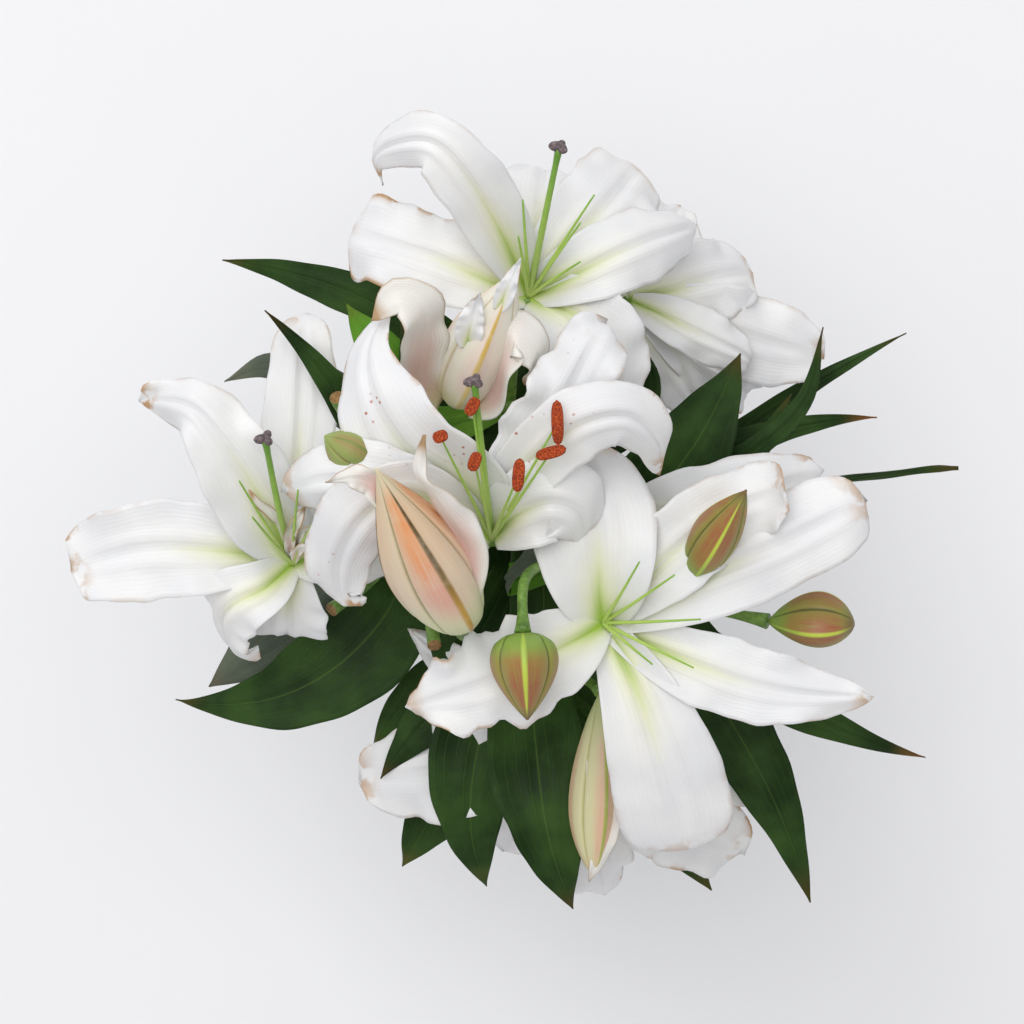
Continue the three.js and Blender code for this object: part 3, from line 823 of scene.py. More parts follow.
pistils = {
    "back_lily": (24, 169, 205),
    "centre_lily": (-13, 64, 232),
    "left_lily": (-106, 40, 205),
}
filament_ends = {
    "back_lily": [(8, 148, 190), (6, 132, 185), (40, 150, 192), (34, 138, 188), (34, 121, 182)],
    "centre_lily": [(-28, 41, 226), (-13, 30, 230), (-14, 54, 228), (23, 47, 224), (20, 34, 228),
                    (6, 24, 232)],
    "right_lily": [(85, -62, 182), (76, -20, 190), (88, -40, 186), (66, -60, 190), (60, -14, 196)],
    "left_lily": [(-118, 22, 200), (-92, 18, 198), (-84, 6, 196), (-112, 6, 202)],
}
anther_headings = [20, 70, 60, 92, 15, 85]
anther_lengths = [7, 9, 9, 20, 14, 15]


def filament_path(seat, end, count=24):
    """A filament or a style: it rises steeply from the seat, then leans out to its end."""
    rise = (end - seat).length
    elbow = seat.lerp(end, 0.45) + Vector((0, 0, 0.12 * rise))
    return smooth_path([seat, elbow, end], count)


def grained(nodes, links, shader, scale, detail, strength, distance):
    """Gives a shader the fine unevenness of its surface, and gives back its value."""
    grain = placed(nodes, links, surface_grain, Scale=scale, Detail=detail, Strength=strength,
                   Distance=distance)
    links.new(grain["Normal"], shader.inputs["Normal"])
    return grain["Value"]


def strand_material(name, stops, scale, roughness):
    """A green filament or style: paler at its foot, with the colour drifting a little."""
    made, nodes, links, shader, _ = material(name)
    patch = grained(nodes, links, shader, scale, 3.0, 0.2, 0.0002)
    ramp = ramp_between(nodes, stops)
    place = counted(nodes, links, "ADD", carried(nodes, "along"), times(nodes, links, patch, 0.3))
    links.new(counted(nodes, links, "SUBTRACT", place, 0.15), ramp.inputs["Fac"])
    links.new(ramp.outputs["Color"], shader.inputs["Base Color"])
    shader.inputs["Roughness"].default_value = roughness
    return made, shader


def powdery_material(name, stops, scale, detail, strength, depth, roughness):
    """A dull, grainy skin: the stigma's, or the pollen on an anther."""
    made, nodes, links, shader, _ = material(name)
    grain = grained(nodes, links, shader, scale, detail, strength, depth)
    ramp = ramp_between(nodes, stops)
    links.new(grain, ramp.inputs["Fac"])
    links.new(ramp.outputs["Color"], shader.inputs["Base Color"])
    shader.inputs["Roughness"].default_value = roughness
    return made


def stigma_shell(end, towards, size):
    """Three rounded lobes that meet in a groove, across the end of the style."""
    points, faces = [], []
    rings, sides = 10, 30
    side = towards.orthogonal().normalized()
    other = towards.cross(side)
    for i in range(rings + 1):
        lean = math.pi * i / rings
        for j in range(sides):
            angle = 2 * math.pi * j / sides
            lobe = 0.72 + 0.34 * math.cos(3 * angle)
            out = size * math.sin(lean) * lobe
            points.append(end + (side * math.cos(angle) + other * math.sin(angle)) * out
                          - towards * size * 0.55 * math.cos(lean) * (0.8 + 0.2 * lobe))
    for i in range(rings):
        for j in range(sides):
            k = (j + 1) % sides
            faces.append((i * sides + j, i * sides + k, (i + 1) * sides + k, (i + 1) * sides + j))
    return points, faces


def anther_shell(middle, heading, length):
    """Two swollen pollen sacs side by side, slightly bowed."""
    half = length * MM / 2
    turn = math.radians(heading)
    lay = Vector((math.cos(turn), math.sin(turn), 0.15)).normalized()
    width = Vector((-math.sin(turn), math.cos(turn), 0))
    over = lay.cross(width)
    points, faces = [], []
    rings, sides = 16, 16
    for i in range(rings + 1):
        t = -1 + 2 * i / rings
        girth = 2.3 * MM * (1 - abs(t) ** 3.2) ** 0.5 + 0.05 * MM
        centre = middle + lay * (t * half) + over * (-0.10 * half * t * t)
        for j in range(sides):
            angle = 2 * math.pi * j / sides
            waist = 1 - 0.6 * math.exp(-(math.sin(angle) - 1) ** 2 / 0.04)
            points.append(centre + (width * math.cos(angle) * 1.15 + over * math.sin(angle) * waist) * girth)
    for i in range(rings):
        for j in range(sides):
            k = (j + 1) % sides
            faces.append((i * sides + j, i * sides + k, (i + 1) * sides + k, (i + 1) * sides + j))
    faces.append(tuple(reversed(range(sides))))
    faces.append(tuple(rings * sides + j for j in range(sides)))
    return points, faces


def shown(name, shells, look, sides=0):
    """Joins shells into one piece that rides on the bouquet. Tubes carry their place along."""
    values = None
    if sides:
        values = {"along": [(i // sides) / (len(points) // sides - 1) for points, _ in shells
                            for i in range(len(points))]}
    made = built(name, *together(shells), values)
    made.data.materials.append(look)
    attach(made, "root")
    return made


green_filament, filament_shader = strand_material(
    "filament_green", [(0.0, (0.52, 0.66, 0.20)), (0.5, (0.44, 0.60, 0.13)), (1.0, (0.22, 0.42, 0.04))],
    220.0, 0.4)
filament_shader.inputs["Subsurface Weight"].default_value = 0.2
filament_shader.inputs["Subsurface Radius"].default_value = (0.6, 1.0, 0.3)
filament_shader.inputs["Subsurface Scale"].default_value = 0.002
green_style, _ = strand_material(
    "style_green", [(0.0, (0.52, 0.66, 0.22)), (0.55, (0.30, 0.48, 0.08)), (1.0, (0.10, 0.26, 0.02))],
    200.0, 0.35)
grey_stigma = powdery_material(
    "stigma_grey", [(0.3, (0.06, 0.045, 0.045)), (0.55, (0.16, 0.12, 0.125)), (0.75, (0.30, 0.25, 0.26))],
    700.0, 4.0, 0.6, 0.0005, 0.7)
rust_anther = powdery_material(
    "rust_pollen", [(0.34, (0.10, 0.012, 0.004)), (0.52, (0.40, 0.05, 0.008)), (0.7, (0.60, 0.12, 0.015))],
    1500.0, 3.0, 0.8, 0.0006, 0.9)

for lily_name, end in pistils.items():
    seat, tip = over_rim(stalks[lily_name][3]), over_rim(end)
    path = filament_path(seat, tip, 30)
    style = tube(path, lambda t: (1.7 - 0.35 * t + 5 * max(0, t - 0.9)) * MM, 12)
    shown(f"{lily_name}_style", [style], green_style, 12)
    towards = (path[-1] - path[-2]).normalized()
    stigma = stigma_shell(tip + towards * MM, towards, 4.8 * MM)
    shown(f"{lily_name}_stigma", [stigma], grey_stigma)
for lily_name, ends in filament_ends.items():
    seat = over_rim(stalks[lily_name][3])
    shells = [tube(filament_path(seat, over_rim(end)), lambda t: (1.15 - 0.75 * t) * MM, 8) for end in ends]
    shown(f"{lily_name}_filaments", shells, green_filament, 8)
anthers = [anther_shell(over_rim(end) + Vector((0, 0, 1.2 * MM)), heading, length)
           for end, heading, length in zip(filament_ends["centre_lily"], anther_headings, anther_lengths)]
shown("centre_lily_anthers", anthers, rust_anther)


# ---- The buds ----
# Closed buds are six tepals still pressed together: three show outside, each with a raised rib, and
# they meet in seams. The large ones have coloured up and begin to part; their tips are dry points.

bud_shape = ("tip", "radius", "fattest", "spin", "lobes", "point", "look")
buds = {name: dict(zip(bud_shape, values)) for name, values in {
    "bud_opening_left": ((-55, 27, 250), 18, 0.32, 52, 1.9, 1.0, "blushed"),
    "bud_opening_back": ((5, 115, 205), 15.5, 0.36, 48, 1.2, 1.0, "pale"),
    "bud_small_front": ((10, -84, 205), 14.5, 0.33, 60, 1.5, 0.85, "green"),
    "bud_small_right": ((163, -44, 138), 12.5, 0.58, 38, 1.4, 0.6, "green"),
    "bud_green_right": ((107, 18, 204), 10.5, 0.4, 52, 1.2, 0.9, "green"),
    "bud_half_open_front": ((42, -166, 106), 11.5, 0.6, 80, 1.2, 0.8, "rosy"),
}.items()}
rib_width, seam_width = 0.13, 0.07
rib_height, seam_depth, lobe_height = 0.08, 0.09, 0.06
bud_ends = 0.004


def bud_shell(foot, tip, radius, fattest, spin, lobes, point=0.8, rows=44, sides=84):
    """A bud's skin. Each point carries its place across an outer tepal (0 on its rib, 1 at its seam)
    and along the bud."""
    axis = tip - foot
    length = axis.length
    axis.normalize()
    side = Vector((0, 0, 1)) - axis * axis.z
    side.normalize()
    other = axis.cross(side)
    warp = math.log(0.5) / math.log(fattest)
    points, faces, across, along, flank = [], [], [], [], []
    for i in range(rows + 1):
        t = bud_ends + (1 - 2 * bud_ends) * i / rows
        fullness = 0.6 if t < fattest else point
        girth = max(radius * MM * math.sin(math.pi * t ** warp) ** fullness, 0.5 * MM)
        for j in range(sides):
            angle = 2 * math.pi * j / sides
            from_rib = ((3 * (angle + math.radians(spin)) / (2 * math.pi)) % 1 - 0.5) * 2
            third = abs(from_rib)
            rib = rib_height * math.exp(-(third / rib_width) ** 2)
            seam = seam_depth * math.exp(-((1 - third) / seam_width) ** 2)
            fade = min(1.0, 8 * t, 6 * (1 - t) + 0.35)
            r = girth * (1 + (rib - seam + lobe_height * math.cos(math.pi * third)) * fade * lobes)
            out = side * math.cos(angle) + other * math.sin(angle)
            points.append(foot + axis * (t * length) + out * r)
            across.append(third)
            along.append(t)
            flank.append(from_rib)
    for i in range(rows):
        for j in range(sides):
            k = (j + 1) % sides
            faces.append((i * sides + j, i * sides + k, (i + 1) * sides + k, (i + 1) * sides + j))
    faces.append(tuple(reversed(range(sides))))
    faces.append(tuple(rows * sides + j for j in range(sides)))
    return points, faces, {"across": across, "along": along, "flank": flank}


def bud_material(name, tint, blush_share, reach=0.62, one_sided=0.0):
    """A bud's skin: a ground colour, a blush each side of the rib, the rib, the seams and the ends."""
    made, nodes, links, shader, _ = material(name)
    across, along = carried(nodes, "across"), carried(nodes, "along")
    mottled = noise(nodes, links, 120, 5)
    streaky = nodes.new("ShaderNodeCombineXYZ")
    links.new(times(nodes, links, across, 26), streaky.inputs["X"])
    links.new(times(nodes, links, along, 3), streaky.inputs["Y"])
    streak = noise(nodes, links, 1, 3, streaky.outputs["Vector"])
    near_rib = stepped(nodes, links, across, reach, 0.12)
    length_wise = times(nodes, links, stepped(nodes, links, along, 0.06, 0.35),
                        stepped(nodes, links, along, 1.0, 0.8))
    reddened = times(nodes, links, near_rib, length_wise)
    flank = stepped(nodes, links, carried(nodes, "flank"), -0.12, 0.12, 1.0, 1.0 - one_sided)
    reddened = times(nodes, links, reddened, flank)
    reddened = times(nodes, links, reddened, stepped(nodes, links, streak, 0.2, 0.75, 0.55, 1.0))
    high = counted(nodes, links, "ADD", along, times(nodes, links, streak, 0.3))
    high = stepped(nodes, links, high, 0.45, 0.85)
    warm = mix_colours(nodes, links, high, tint["low_blush"], tint["blush"])
    colour = mix_colours(nodes, links, times(nodes, links, reddened, blush_share), tint["body"], warm)
    near_foot = times(nodes, links, stepped(nodes, links, along, 0.32, 0.05), 0.85)
    colour = mix_colours(nodes, links, near_foot, colour, tint["foot"])
    up_the_rib = stepped(nodes, links, along, 0.2, 0.55)
    rib_colour = mix_colours(nodes, links, up_the_rib, tint["low_rib"], tint["rib"])
    colour = mix_colours(nodes, links, stepped(nodes, links, across, 0.11, 0.03), colour, rib_colour)
    near_seam = times(nodes, links, stepped(nodes, links, across, 0.90, 0.985), 0.8)
    colour = mix_colours(nodes, links, near_seam, colour, tint["seam"])
    near_tip = times(nodes, links, stepped(nodes, links, along, 0.82, 1.0), 0.8)
    colour = mix_colours(nodes, links, near_tip, colour, tint["tip"])
    freckled = stepped(nodes, links, mottled, 0.42, 0.72, 0.0, 0.22)
    colour = mix_colours(nodes, links, freckled, colour, tint["body"])
    links.new(colour, shader.inputs["Base Color"])
    shader.inputs["Roughness"].default_value = 0.48
    shader.inputs["Subsurface Weight"].default_value = 0.15
    shader.inputs["Subsurface Radius"].default_value = (1.0, 0.7, 0.4)
    shader.inputs["Subsurface Scale"].default_value = 0.002
    relief = counted(nodes, links, "ADD", times(nodes, links, streak, 0.8), mottled)
    bumped(nodes, links, shader, relief, 0.35, 0.0004)
    return made


def peeled_material():
    """The outer tepal of an opening bud: cream, flushed pink low down, with brown dry margins."""
    made, nodes, links, shader, _ = material("peeled_petal")
    across, along, dry = (carried(nodes, key) for key in ("across", "along", "dry"))
    off_middle = counted(nodes, links, "ABSOLUTE", across)
    tones = placed(nodes, links, clouding, Scale=60.0, Detail=4.0, First=(0.82, 0.80, 0.74),
                   Second=(0.84, 0.82, 0.78))
    flush = times(nodes, links, stepped(nodes, links, along, 0.75, 0.3),
                  stepped(nodes, links, off_middle, 0.95, 0.3))
    colour = mix_colours(nodes, links, times(nodes, links, flush, 0.75), tones["Colour"], (0.72, 0.42, 0.38))
    near_foot = times(nodes, links, stepped(nodes, links, along, 0.2, 0.0), 0.6)
    colour = mix_colours(nodes, links, near_foot, colour, (0.62, 0.60, 0.26))
    fine_veins = veined(nodes, links, 9.0, 0.2, 0.4)
    colour = mix_colours(nodes, links, times(nodes, links, fine_veins, 0.1), colour, (0.66, 0.58, 0.40))
    colour = placed(nodes, links, dried_margin, Colour=colour, Brown=(0.42, 0.24, 0.09), Dry=dry,
                    Spots=tones["Cloud"], Strength=1.4, Limit=0.9)["Colour"]
    links.new(colour, shader.inputs["Base Color"])
    shader.inputs["Roughness"].default_value = 0.55
    relief = counted(nodes, links, "ADD", tones["Cloud"], fine_veins)
    bumped(nodes, links, shader, relief, 0.3, 0.0004)
    return made


peeled_petal = peeled_material()
bud_tints = {
    "blushed": {"body": (0.72, 0.64, 0.46), "blush": (0.80, 0.27, 0.06), "low_blush": (0.70, 0.33, 0.26),
                "rib": (0.10, 0.055, 0.008), "low_rib": (0.52, 0.30, 0.05), "seam": (0.16, 0.17, 0.02),
                "foot": (0.62, 0.66, 0.38), "tip": (0.72, 0.64, 0.42)},
    "rosy": {"body": (0.66, 0.62, 0.36), "blush": (0.72, 0.34, 0.26), "low_blush": (0.70, 0.40, 0.30),
             "rib": (0.36, 0.42, 0.08), "low_rib": (0.36, 0.42, 0.08), "seam": (0.42, 0.40, 0.14),
             "foot": (0.50, 0.58, 0.24), "tip": (0.66, 0.52, 0.30)},
    "pale": {"body": (0.80, 0.77, 0.66), "blush": (0.80, 0.66, 0.56), "low_blush": (0.76, 0.50, 0.46),
             "rib": (0.66, 0.44, 0.10), "low_rib": (0.72, 0.56, 0.22), "seam": (0.56, 0.46, 0.24),
             "foot": (0.74, 0.70, 0.40), "tip": (0.80, 0.76, 0.64)},
    "green": {"body": (0.25, 0.35, 0.055), "blush": (0.36, 0.075, 0.045), "low_blush": (0.36, 0.125, 0.045),
              "rib": (0.52, 0.62, 0.07), "low_rib": (0.40, 0.54, 0.08), "seam": (0.06, 0.07, 0.015),
              "foot": (0.22, 0.35, 0.06), "tip": (0.16, 0.04, 0.03)},
    "tan": {"body": (0.30, 0.36, 0.10), "blush": (0.36, 0.22, 0.09), "low_blush": (0.36, 0.22, 0.09),
            "rib": (0.20, 0.24, 0.05), "low_rib": (0.20, 0.24, 0.05), "seam": (0.24, 0.16, 0.06),
            "foot": (0.34, 0.24, 0.10), "tip": (0.30, 0.40, 0.12)},
}
bud_looks = {
    "blushed": bud_material("blushed_bud", bud_tints["blushed"], 1.0, 1.6, 0.66),
    "rosy": bud_material("rosy_bud", bud_tints["rosy"], 0.8),
    "pale": bud_material("pale_bud", bud_tints["pale"], 0.75),
    "green": bud_material("green_bud", bud_tints["green"], 1.0, 1.7),
    "tan": bud_material("tan_bud", bud_tints["tan"], 0.8),
}
for bud_name, bud in buds.items():
    foot, tip = over_rim(stalks[bud_name][3]), over_rim(bud["tip"])
    points, faces, values = bud_shell(foot, tip, bud["radius"], bud["fattest"], bud["spin"], bud["lobes"],
                                      bud["point"])
    piece = built(f"{bud_name}_skin", points, faces, values)
    piece.data.materials.append(bud_looks[bud["look"]])
    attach(piece, "root")
    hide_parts(bud_name)

# The two most open buds let their outer tepals go: broad flaps roll back from one, and dry brown
# points peel from the tip of the other.
peeling = {
    "bud_opening_back_left_flap": ("bud_opening_back", (-29, 60, 152), {
        "passes": [(-39, 68, 168), (-38, 84, 190), (-37, 97, 206), (-47, 103, 210), (-59, 93, 204)],
        "width": 29, "widest": 0.45, "taper": 0.7, "spread": 0.05, "dry_tip": 1, "dry_edge": 0.5}),
    "bud_opening_back_right_flap": ("bud_opening_back", (-17, 58, 152), {
        "passes": [(-5, 62, 168), (-2, 78, 184), (4, 88, 193), (14, 80, 187), (9, 66, 172)],
        "width": 26, "widest": 0.5, "taper": 0.7, "spread": 0.05, "dry_tip": 1, "dry_edge": 0.3}),
    "bud_opening_back_left_tip": ("bud_opening_back", (-17, 82, 186), {
        "passes": [(-15, 93, 197), (-11, 106, 204)], "width": 13, "taper": 1.0, "dry_tip": 1,
        "dry_edge": 0.9}),
    "bud_opening_back_beak": ("bud_opening_back", (-3, 98, 198), {
        "passes": [(2, 109, 205), (7, 120, 209)], "width": 9, "taper": 1.0, "dry_tip": 1, "dry_edge": 0.9}),
    "bud_opening_left_right_tepal": ("bud_opening_left", (-17, -34, 198), {
        "passes": [(-17, -8, 216), (-29, 13, 236), (-38, 25, 246), (-34, 41, 254)], "width": 19,
        "widest": 0.4, "taper": 1.0, "roll": -34, "spread": -0.5, "channel": -0.4, "dry_tip": 1, "dry_edge": 0.4}),
    "bud_opening_left_left_point": ("bud_opening_left", (-50, 10, 232), {
        "passes": [(-57, 21, 240), (-66, 23, 244), (-77, 21, 240)], "width": 13, "taper": 1.0, "dry_tip": 1,
        "dry_edge": 1}),
    "bud_half_open_flap": ("bud_half_open_front", (43, -100, 118), {
        "passes": [(47, -128, 120), (46, -150, 116), (40, -168, 106)], "width": 16, "taper": 0.8,
        "dry_edge": 0.5}),
}
beaks = ("bud_opening_back_left_tip", "bud_opening_back_beak")
flap_shape = {"base": 0.5, "widest": 0.35, "taper": 0.8, "groove": 0.5, "ridge": 0.2, "ruffle": 1.6,
              "thick": 0.8}
for flap_name, (bud_name, start, habit) in peeling.items():
    piece = blade(flap_name, over_rim(start), {**flap_shape, **habit}, 36, 12)
    piece.data.materials.append(white_petal if flap_name in beaks else peeled_petal)
    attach(piece, "root")


# ---- The leaves ----
# Long dark leaves that clasp the stems below the blooms, with parallel veins, a pale grey-green
# underside and, on the older ones, a brown tip.

leaf_blade = {"base": 0.3, "widest": 0.4, "taper": 1.0, "channel": 0.3, "spread": 0.12, "groove": 0.9,
              "ruffle": 1.3, "waves": 1.6, "thick": 0.7, "dry_tip": 0.25, "dry_edge": 0.0}
leaves = {
    "leaf_back_left": ("back", 60, {"heading": 118, "length": 165, "width": 25, "rise": 25, "dip": -5,
                                    "sweep": 54, "bend": 0.6}),
    "leaf_left_upper": ("left", 85, {"heading": 98, "length": 152, "width": 18, "rise": 62, "dip": 0,
                                     "sweep": 40}),
    "leaf_behind_centre": ("right", 80, {"heading": 42, "length": 126, "width": 46, "rise": 35, "dip": 0,
                                         "sweep": 26}),
    "leaf_right_curved": ("right", 55, {"heading": 55, "length": 160, "width": 17, "rise": 30, "dip": -5,
                                        "sweep": -55, "dry_tip": 1}),
    "leaf_right_back": ("right", 20, {"heading": 46, "length": 188, "width": 13, "rise": 12, "dip": 8,
                                      "sweep": -20}),
    "leaf_right_edge_on": ("right", 70, {"heading": 27, "length": 182, "width": 16, "rise": 20, "dip": -5,
                                         "sweep": -26, "roll": 60}),
    "leaf_right_front": ("right", 30, {"heading": -52, "length": 198, "width": 23, "rise": 30, "dip": -15,
                                       "sweep": 38, "dry_tip": 0.8}),
    "leaf_front_right": ("right", 50, {"heading": -45, "length": 210, "width": 38, "rise": 30, "dip": -25,
                                       "sweep": -28}),
    "leaf_front": ("front", 60, {"heading": -96, "length": 141, "width": 46, "rise": 62, "dip": -38,
                                 "sweep": 28}),
    "leaf_front_left": ("front", 48, {"heading": -146, "length": 140, "width": 45, "rise": 65, "dip": -38,
                                      "sweep": 78, "bend": 0.8}),
    "leaf_front_small": ("front", 36, {"heading": -157, "length": 110, "width": 30, "rise": 60, "dip": -20,
                                       "sweep": 34}),
    "leaf_left_broad": ("left", 60, {"heading": 284, "length": 162, "width": 50, "rise": 20, "dip": -15,
                                     "sweep": -115, "bend": 0.7, "widest": 0.36, "taper": 1.3}),
}


def leaf_material(name, dark, light, fresh_tint, freshness):
    """A leaf's skin: clouded green with pale veins and fine fibres, and a grey-green underside."""
    made, nodes, links, shader, _ = material(name)
    across, along, dry = (carried(nodes, key) for key in ("across", "along", "dry"))
    off_middle = counted(nodes, links, "ABSOLUTE", across)
    tones = placed(nodes, links, clouding, Scale=35.0, Detail=4.0, To=0.72, First=dark, Second=light)
    fresh = times(nodes, links, stepped(nodes, links, along, 0.45, 0.0), freshness)
    top = mix_colours(nodes, links, fresh, tones["Colour"], fresh_tint)
    lines = veined(nodes, links, 4.5, 0.10, 0.07)
    top = mix_colours(nodes, links, times(nodes, links, lines, 0.22), top, (0.10, 0.18, 0.035))
    fibres = veined(nodes, links, 30.0, 0.08, 0.45)
    top = mix_colours(nodes, links, times(nodes, links, fibres, 0.14), top, (0.05, 0.105, 0.022))
    middle_rib = times(nodes, links, stepped(nodes, links, off_middle, 0.035, 0.008), 0.3)
    top = mix_colours(nodes, links, middle_rib, top, (0.13, 0.22, 0.05))
    below = placed(nodes, links, clouding, Scale=35.0, Detail=4.0, First=(0.075, 0.095, 0.07),
                   Second=(0.13, 0.155, 0.11))["Colour"]
    below = mix_colours(nodes, links, times(nodes, links, lines, 0.6), below, (0.20, 0.23, 0.15))
    under = stepped(nodes, links, carried(nodes, "under"), 0.4, 0.6)
    colour = mix_colours(nodes, links, under, top, below)
    colour = placed(nodes, links, dried_margin, Colour=colour, Brown=(0.24, 0.10, 0.035), Dry=dry,
                    Spots=noise(nodes, links, 60, 3))["Colour"]
    links.new(colour, shader.inputs["Base Color"])
    rough = stepped(nodes, links, tones["Cloud"], 0.3, 0.7, 0.38, 0.52)
    links.new(rough, shader.inputs["Roughness"])
    shader.inputs["Specular IOR Level"].default_value = 0.1
    relief = counted(nodes, links, "ADD", times(nodes, links, fibres, 0.25), lines)
    bumped(nodes, links, shader, relief, 0.5, 0.0004)
    return made


green_leaf = leaf_material("dark_leaf", (0.009, 0.026, 0.006), (0.036, 0.080, 0.017),
                           (0.05, 0.13, 0.016), 0.35)
fresh_leaf = leaf_material("fresh_leaf", (0.06, 0.17, 0.012), (0.12, 0.30, 0.025), (0.20, 0.38, 0.05), 0.6)
for leaf_name, (of_stem, height, habit) in leaves.items():
    piece = blade(f"{leaf_name}_blade", on_stem(stems[of_stem], height), {**leaf_blade, **habit}, 56, 14)
    piece.data.materials.append(green_leaf)
    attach(piece, "root")
    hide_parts(leaf_name)


# Smaller leaves that fill the bunch between the blooms and over the mouth of the vase. Each has the
# point on its stem where it starts, above the rim, and the points it passes through to its tip.
filling_leaves = {
    "leaf_fill_left_grey": ((-50, 30, 80), [(-88, 68, 88), (-116, 79, 84), (-137, 72, 74)], 23, 180),
    "leaf_fill_left_bright": ((-40, 50, 92), [(-60, 84, 100), (-76, 108, 98)], 26),
    "leaf_fill_hidden_left": ((-30, 60, 84), [(-42, 78, 98), (-50, 100, 98)], 18),
    "leaf_fill_under_back": ((-6, 56, 80), [(6, 84, 92), (22, 106, 90)], 32),
    "leaf_fill_behind_rear": ((40, 48, 70), [(62, 74, 84), (58, 96, 88)], 40),
    "leaf_fill_back_tip": ((50, 90, 60), [(90, 106, 66), (123, 116, 64)], 16),
    "leaf_fill_right_dark": ((82, 20, 96), [(118, 38, 112), (142, 62, 116), (151, 96, 112)], 11),
    "leaf_fill_right_low": ((60, -6, 50), [(92, 14, 66), (120, 36, 72), (140, 66, 70)], 19),
    "leaf_fill_front_tip": ((60, -120, 56), [(80, -150, 50), (103, -181, 40)], 22),
    "leaf_fill_front_left_low": ((-10, -110, 50), [(-34, -140, 46), (-52, -170, 32)], 30),
    "leaf_fill_front_middle": ((12, -88, 56), [(-8, -122, 52), (-22, -150, 42)], 28),
    "leaf_fill_front_left_small": ((-36, -70, 60), [(-54, -92, 62), (-66, -110, 56)], 16),
    "leaf_fill_left_under": ((-58, -18, 66), [(-82, -30, 66), (-102, -46, 60), (-126, -63, 52),
                                              (-148, -79, 42)], 44, 180),
    "leaf_fill_mouth_left": ((-10, 6, 60), [(-40, -14, 78), (-76, -26, 70)], 40),
    "leaf_fill_mouth_low_left": ((6, -6, 64), [(-16, -40, 84), (-30, -84, 74)], 44),
    "leaf_fill_mouth_low": ((20, -6, 70), [(18, -44, 88), (6, -88, 78)], 44),
    "leaf_fill_mouth_right": ((0, -6, 64), [(34, -24, 84), (70, -22, 80)], 42),
    "leaf_fill_mouth_high": ((8, -10, 66), [(16, 26, 84), (20, 66, 80)], 46),
    "leaf_fill_mouth_high_left": ((4, 0, 60), [(-14, 30, 80), (-22, 74, 78)], 40),
    "leaf_fill_mouth_bright": ((0, -24, 100), [(14, -14, 116), (32, -20, 114)], 17),
    "leaf_fill_mouth_front": ((20, -30, 62), [(30, -64, 68), (44, -106, 54)], 42),
    "leaf_fill_mouth_front_right": ((22, -20, 66), [(48, -52, 76), (60, -92, 60)], 42),
}
bright_leaves = ("leaf_fill_left_bright", "leaf_fill_mouth_bright")
stem_points = [point for stem in stems.values() for point in stem_path(stem, 240)]
for leaf_name, (start, passes, width, *turned_over) in filling_leaves.items():
    foot = min(stem_points, key=lambda point: (point - over_rim(start)).length)
    line = [over_rim(p) for p in (start, *passes)]
    clasp = (line[0] - foot).length
    reach_out = sum((b - a).length for a, b in zip(line, line[1:]))
    broadest = (clasp + leaf_blade["widest"] * reach_out) / (clasp + reach_out)
    habit = {"passes": [start, *passes], "width": width, "roll": sum(turned_over), "widest": broadest}
    piece = blade(leaf_name, foot, {**leaf_blade, **habit}, 44, 12)
    piece.data.materials.append(fresh_leaf if leaf_name in bright_leaves else green_leaf)
    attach(piece, "root")


# ---- The small unopened bud, the cut stalks and the dried stamens ----
# Among the leaves on the left is one more small bud, still green and tan. Three stalks were cut where
# spent flowers came off, and the left bloom keeps a few dry stamens with brown ends.

small_foot, small_tip = over_rim((-57, 29, 197)), over_rim((-80, 42, 203))
points, faces, values = bud_shell(small_foot, small_tip, 9, 0.5, 40, 1.2)
piece = built("bud_unopened_left", points, faces, values)
piece.data.materials.append(bud_looks["tan"])
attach(piece, "root")

stalk_radius, stalk_flare = 2.9, 0.5
cut_stalks = {"cut_stalk_upper": (84, [(-62, 30, 128), (-76, 60, 178)]),
              "cut_stalk_left": (70, [(-64, -24, 104), (-82, -38, 122)]),
              "cut_stalk_middle": (66, [(-38, -30, 106), (-33, -54, 136)]),
              "small_bud_stalk": (90, [(-56, 10, 150), (-58, 30, 199)])}
for stalk_name, (leave, line) in cut_stalks.items():
    path = smooth_path([on_stem(stems["left"], leave), *map(over_rim, line)], 24)
    piece = built(stalk_name, *tube(path, lambda t: (stalk_radius + stalk_flare * t ** 6) * MM, 14))
    piece.data.materials.append(green_stem)
    if stalk_name.startswith("cut"):
        piece.data.materials.append(cut_face)
        piece.data.polygons[len(piece.data.polygons) - 1].material_index = 1    # the far end's cap
    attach(piece, "root")

# One tepal of a bloom that hangs hidden under the right side of the bunch.
piece = blade("hidden_bloom_tepal", on_stem(stems["right"], 88), {
    **outer_ring, "passes": [(62, 2, 104), (96, 12, 122), (126, 20, 124), (151, 28, 114)], "taper": 0.4,
    "spread": -0.4, "dry_tip": 0.6}, 40, 14)
piece.data.materials.append(white_petal)
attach(piece, "root")

# What is left of the left bloom's stamens: flat, curled and brown.
dry_stamens = [((-99, -14, 140), [(-103, 4, 166), (-116, 18, 176)], 5),
               ((-99, -14, 140), [(-97, 0, 172), (-90, 11, 179)], 6),
               ((-98, -15, 140), [(-93, -8, 168), (-86, -8, 176)], 6),
               ((-98, -15, 140), [(-92, 0, 172), (-83, 3, 178)], 5)]
for number, (start, passes, width) in enumerate(dry_stamens, 1):
    piece = blade(f"left_lily_dry_stamen_{number}", over_rim(start), {
        **flap_shape, "passes": passes, "width": width, "widest": 0.75, "base": 0.3, "channel": 0.8,
        "spread": 0.6, "dry_tip": 1, "dry_edge": 1}, 30, 8)
    piece.data.materials.append(peeled_petal)
    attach(piece, "root")


# ---- The floor, the light and the camera ----
# A pale seamless floor, two broad soft lamps overhead in a pale room, and a camera that looks
# straight down.

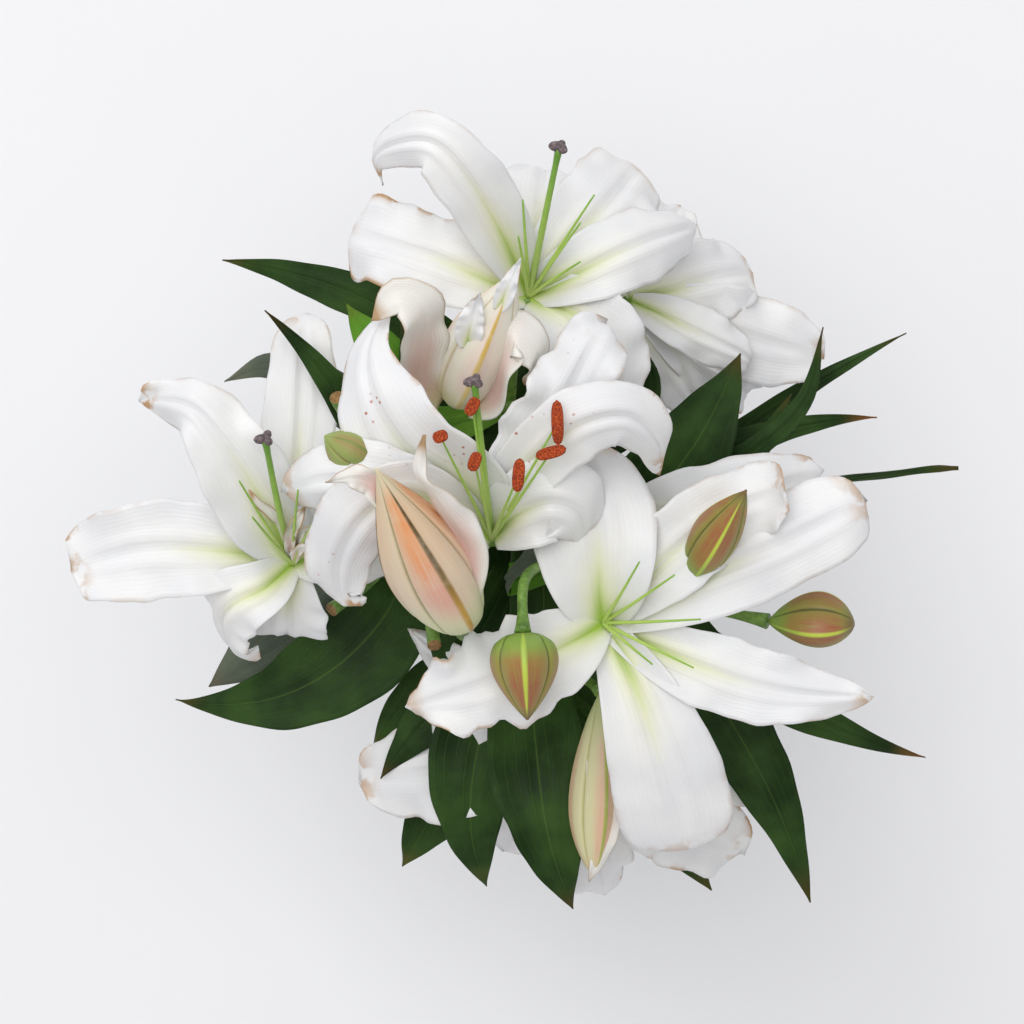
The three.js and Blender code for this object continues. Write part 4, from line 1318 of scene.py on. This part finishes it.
reach = 12.0
floor_mesh = bpy.data.meshes.new("floor")
floor_mesh.from_pydata([(-reach, -reach, 0), (reach, -reach, 0), (reach, reach, 0), (-reach, reach, 0)], [],
                       [(0, 1, 2, 3)])
floor = bpy.data.objects.new("floor", floor_mesh)
bpy.context.scene.collection.objects.link(floor)
floor_look, floor_nodes, floor_links, floor_shader, _ = material("pale_floor")
floor_tone = ramp_between(floor_nodes, [(0.3, (0.86, 0.86, 0.875)), (0.7, (0.88, 0.88, 0.895))])
floor_links.new(noise(floor_nodes, floor_links, 3, 2), floor_tone.inputs["Fac"])
floor_links.new(floor_tone.outputs["Color"], floor_shader.inputs["Base Color"])
floor_shader.inputs["Roughness"].default_value = 0.9
floor_mesh.materials.append(floor_look)

room_tint, room_strength = (0.985, 0.985, 1.0), 0.56
world = bpy.data.worlds.new("studio")
world.use_nodes = True
world.node_tree.nodes["Background"].inputs["Color"].default_value = (*room_tint, 1)
world.node_tree.nodes["Background"].inputs["Strength"].default_value = room_strength
bpy.context.scene.world = world
lamp_aim = Vector((0, 0, 0.4))


def soft_lamp(name, place, size, power):
    """A round soft lamp that points at the blooms."""
    lamp = bpy.data.lights.new(name, "AREA")
    lamp.shape = "DISK"
    lamp.size = size
    lamp.energy = power
    made = bpy.data.objects.new(name, lamp)
    made.location = place
    made.rotation_euler = (lamp_aim - Vector(place)).to_track_quat("-Z", "Y").to_euler()
    bpy.context.scene.collection.objects.link(made)


soft_lamp("overhead_lamp", (-0.3, 0.5, 3.6), 2.4, 48)
soft_lamp("window_lamp", (-1.6, 2.6, 3.2), 3.2, 48)

eye = (3.2 * MM, 8.2 * MM, 1.72)
sensor_width, lens = 36, 100.5
camera_data = bpy.data.cameras.new("camera")
camera_data.sensor_width = sensor_width
camera_data.lens = lens
camera_data.dof.use_dof = False
camera = bpy.data.objects.new("camera", camera_data)
camera.location = eye
bpy.context.scene.collection.objects.link(camera)
bpy.context.scene.camera = camera
bpy.context.scene.view_settings.view_transform = "Standard"
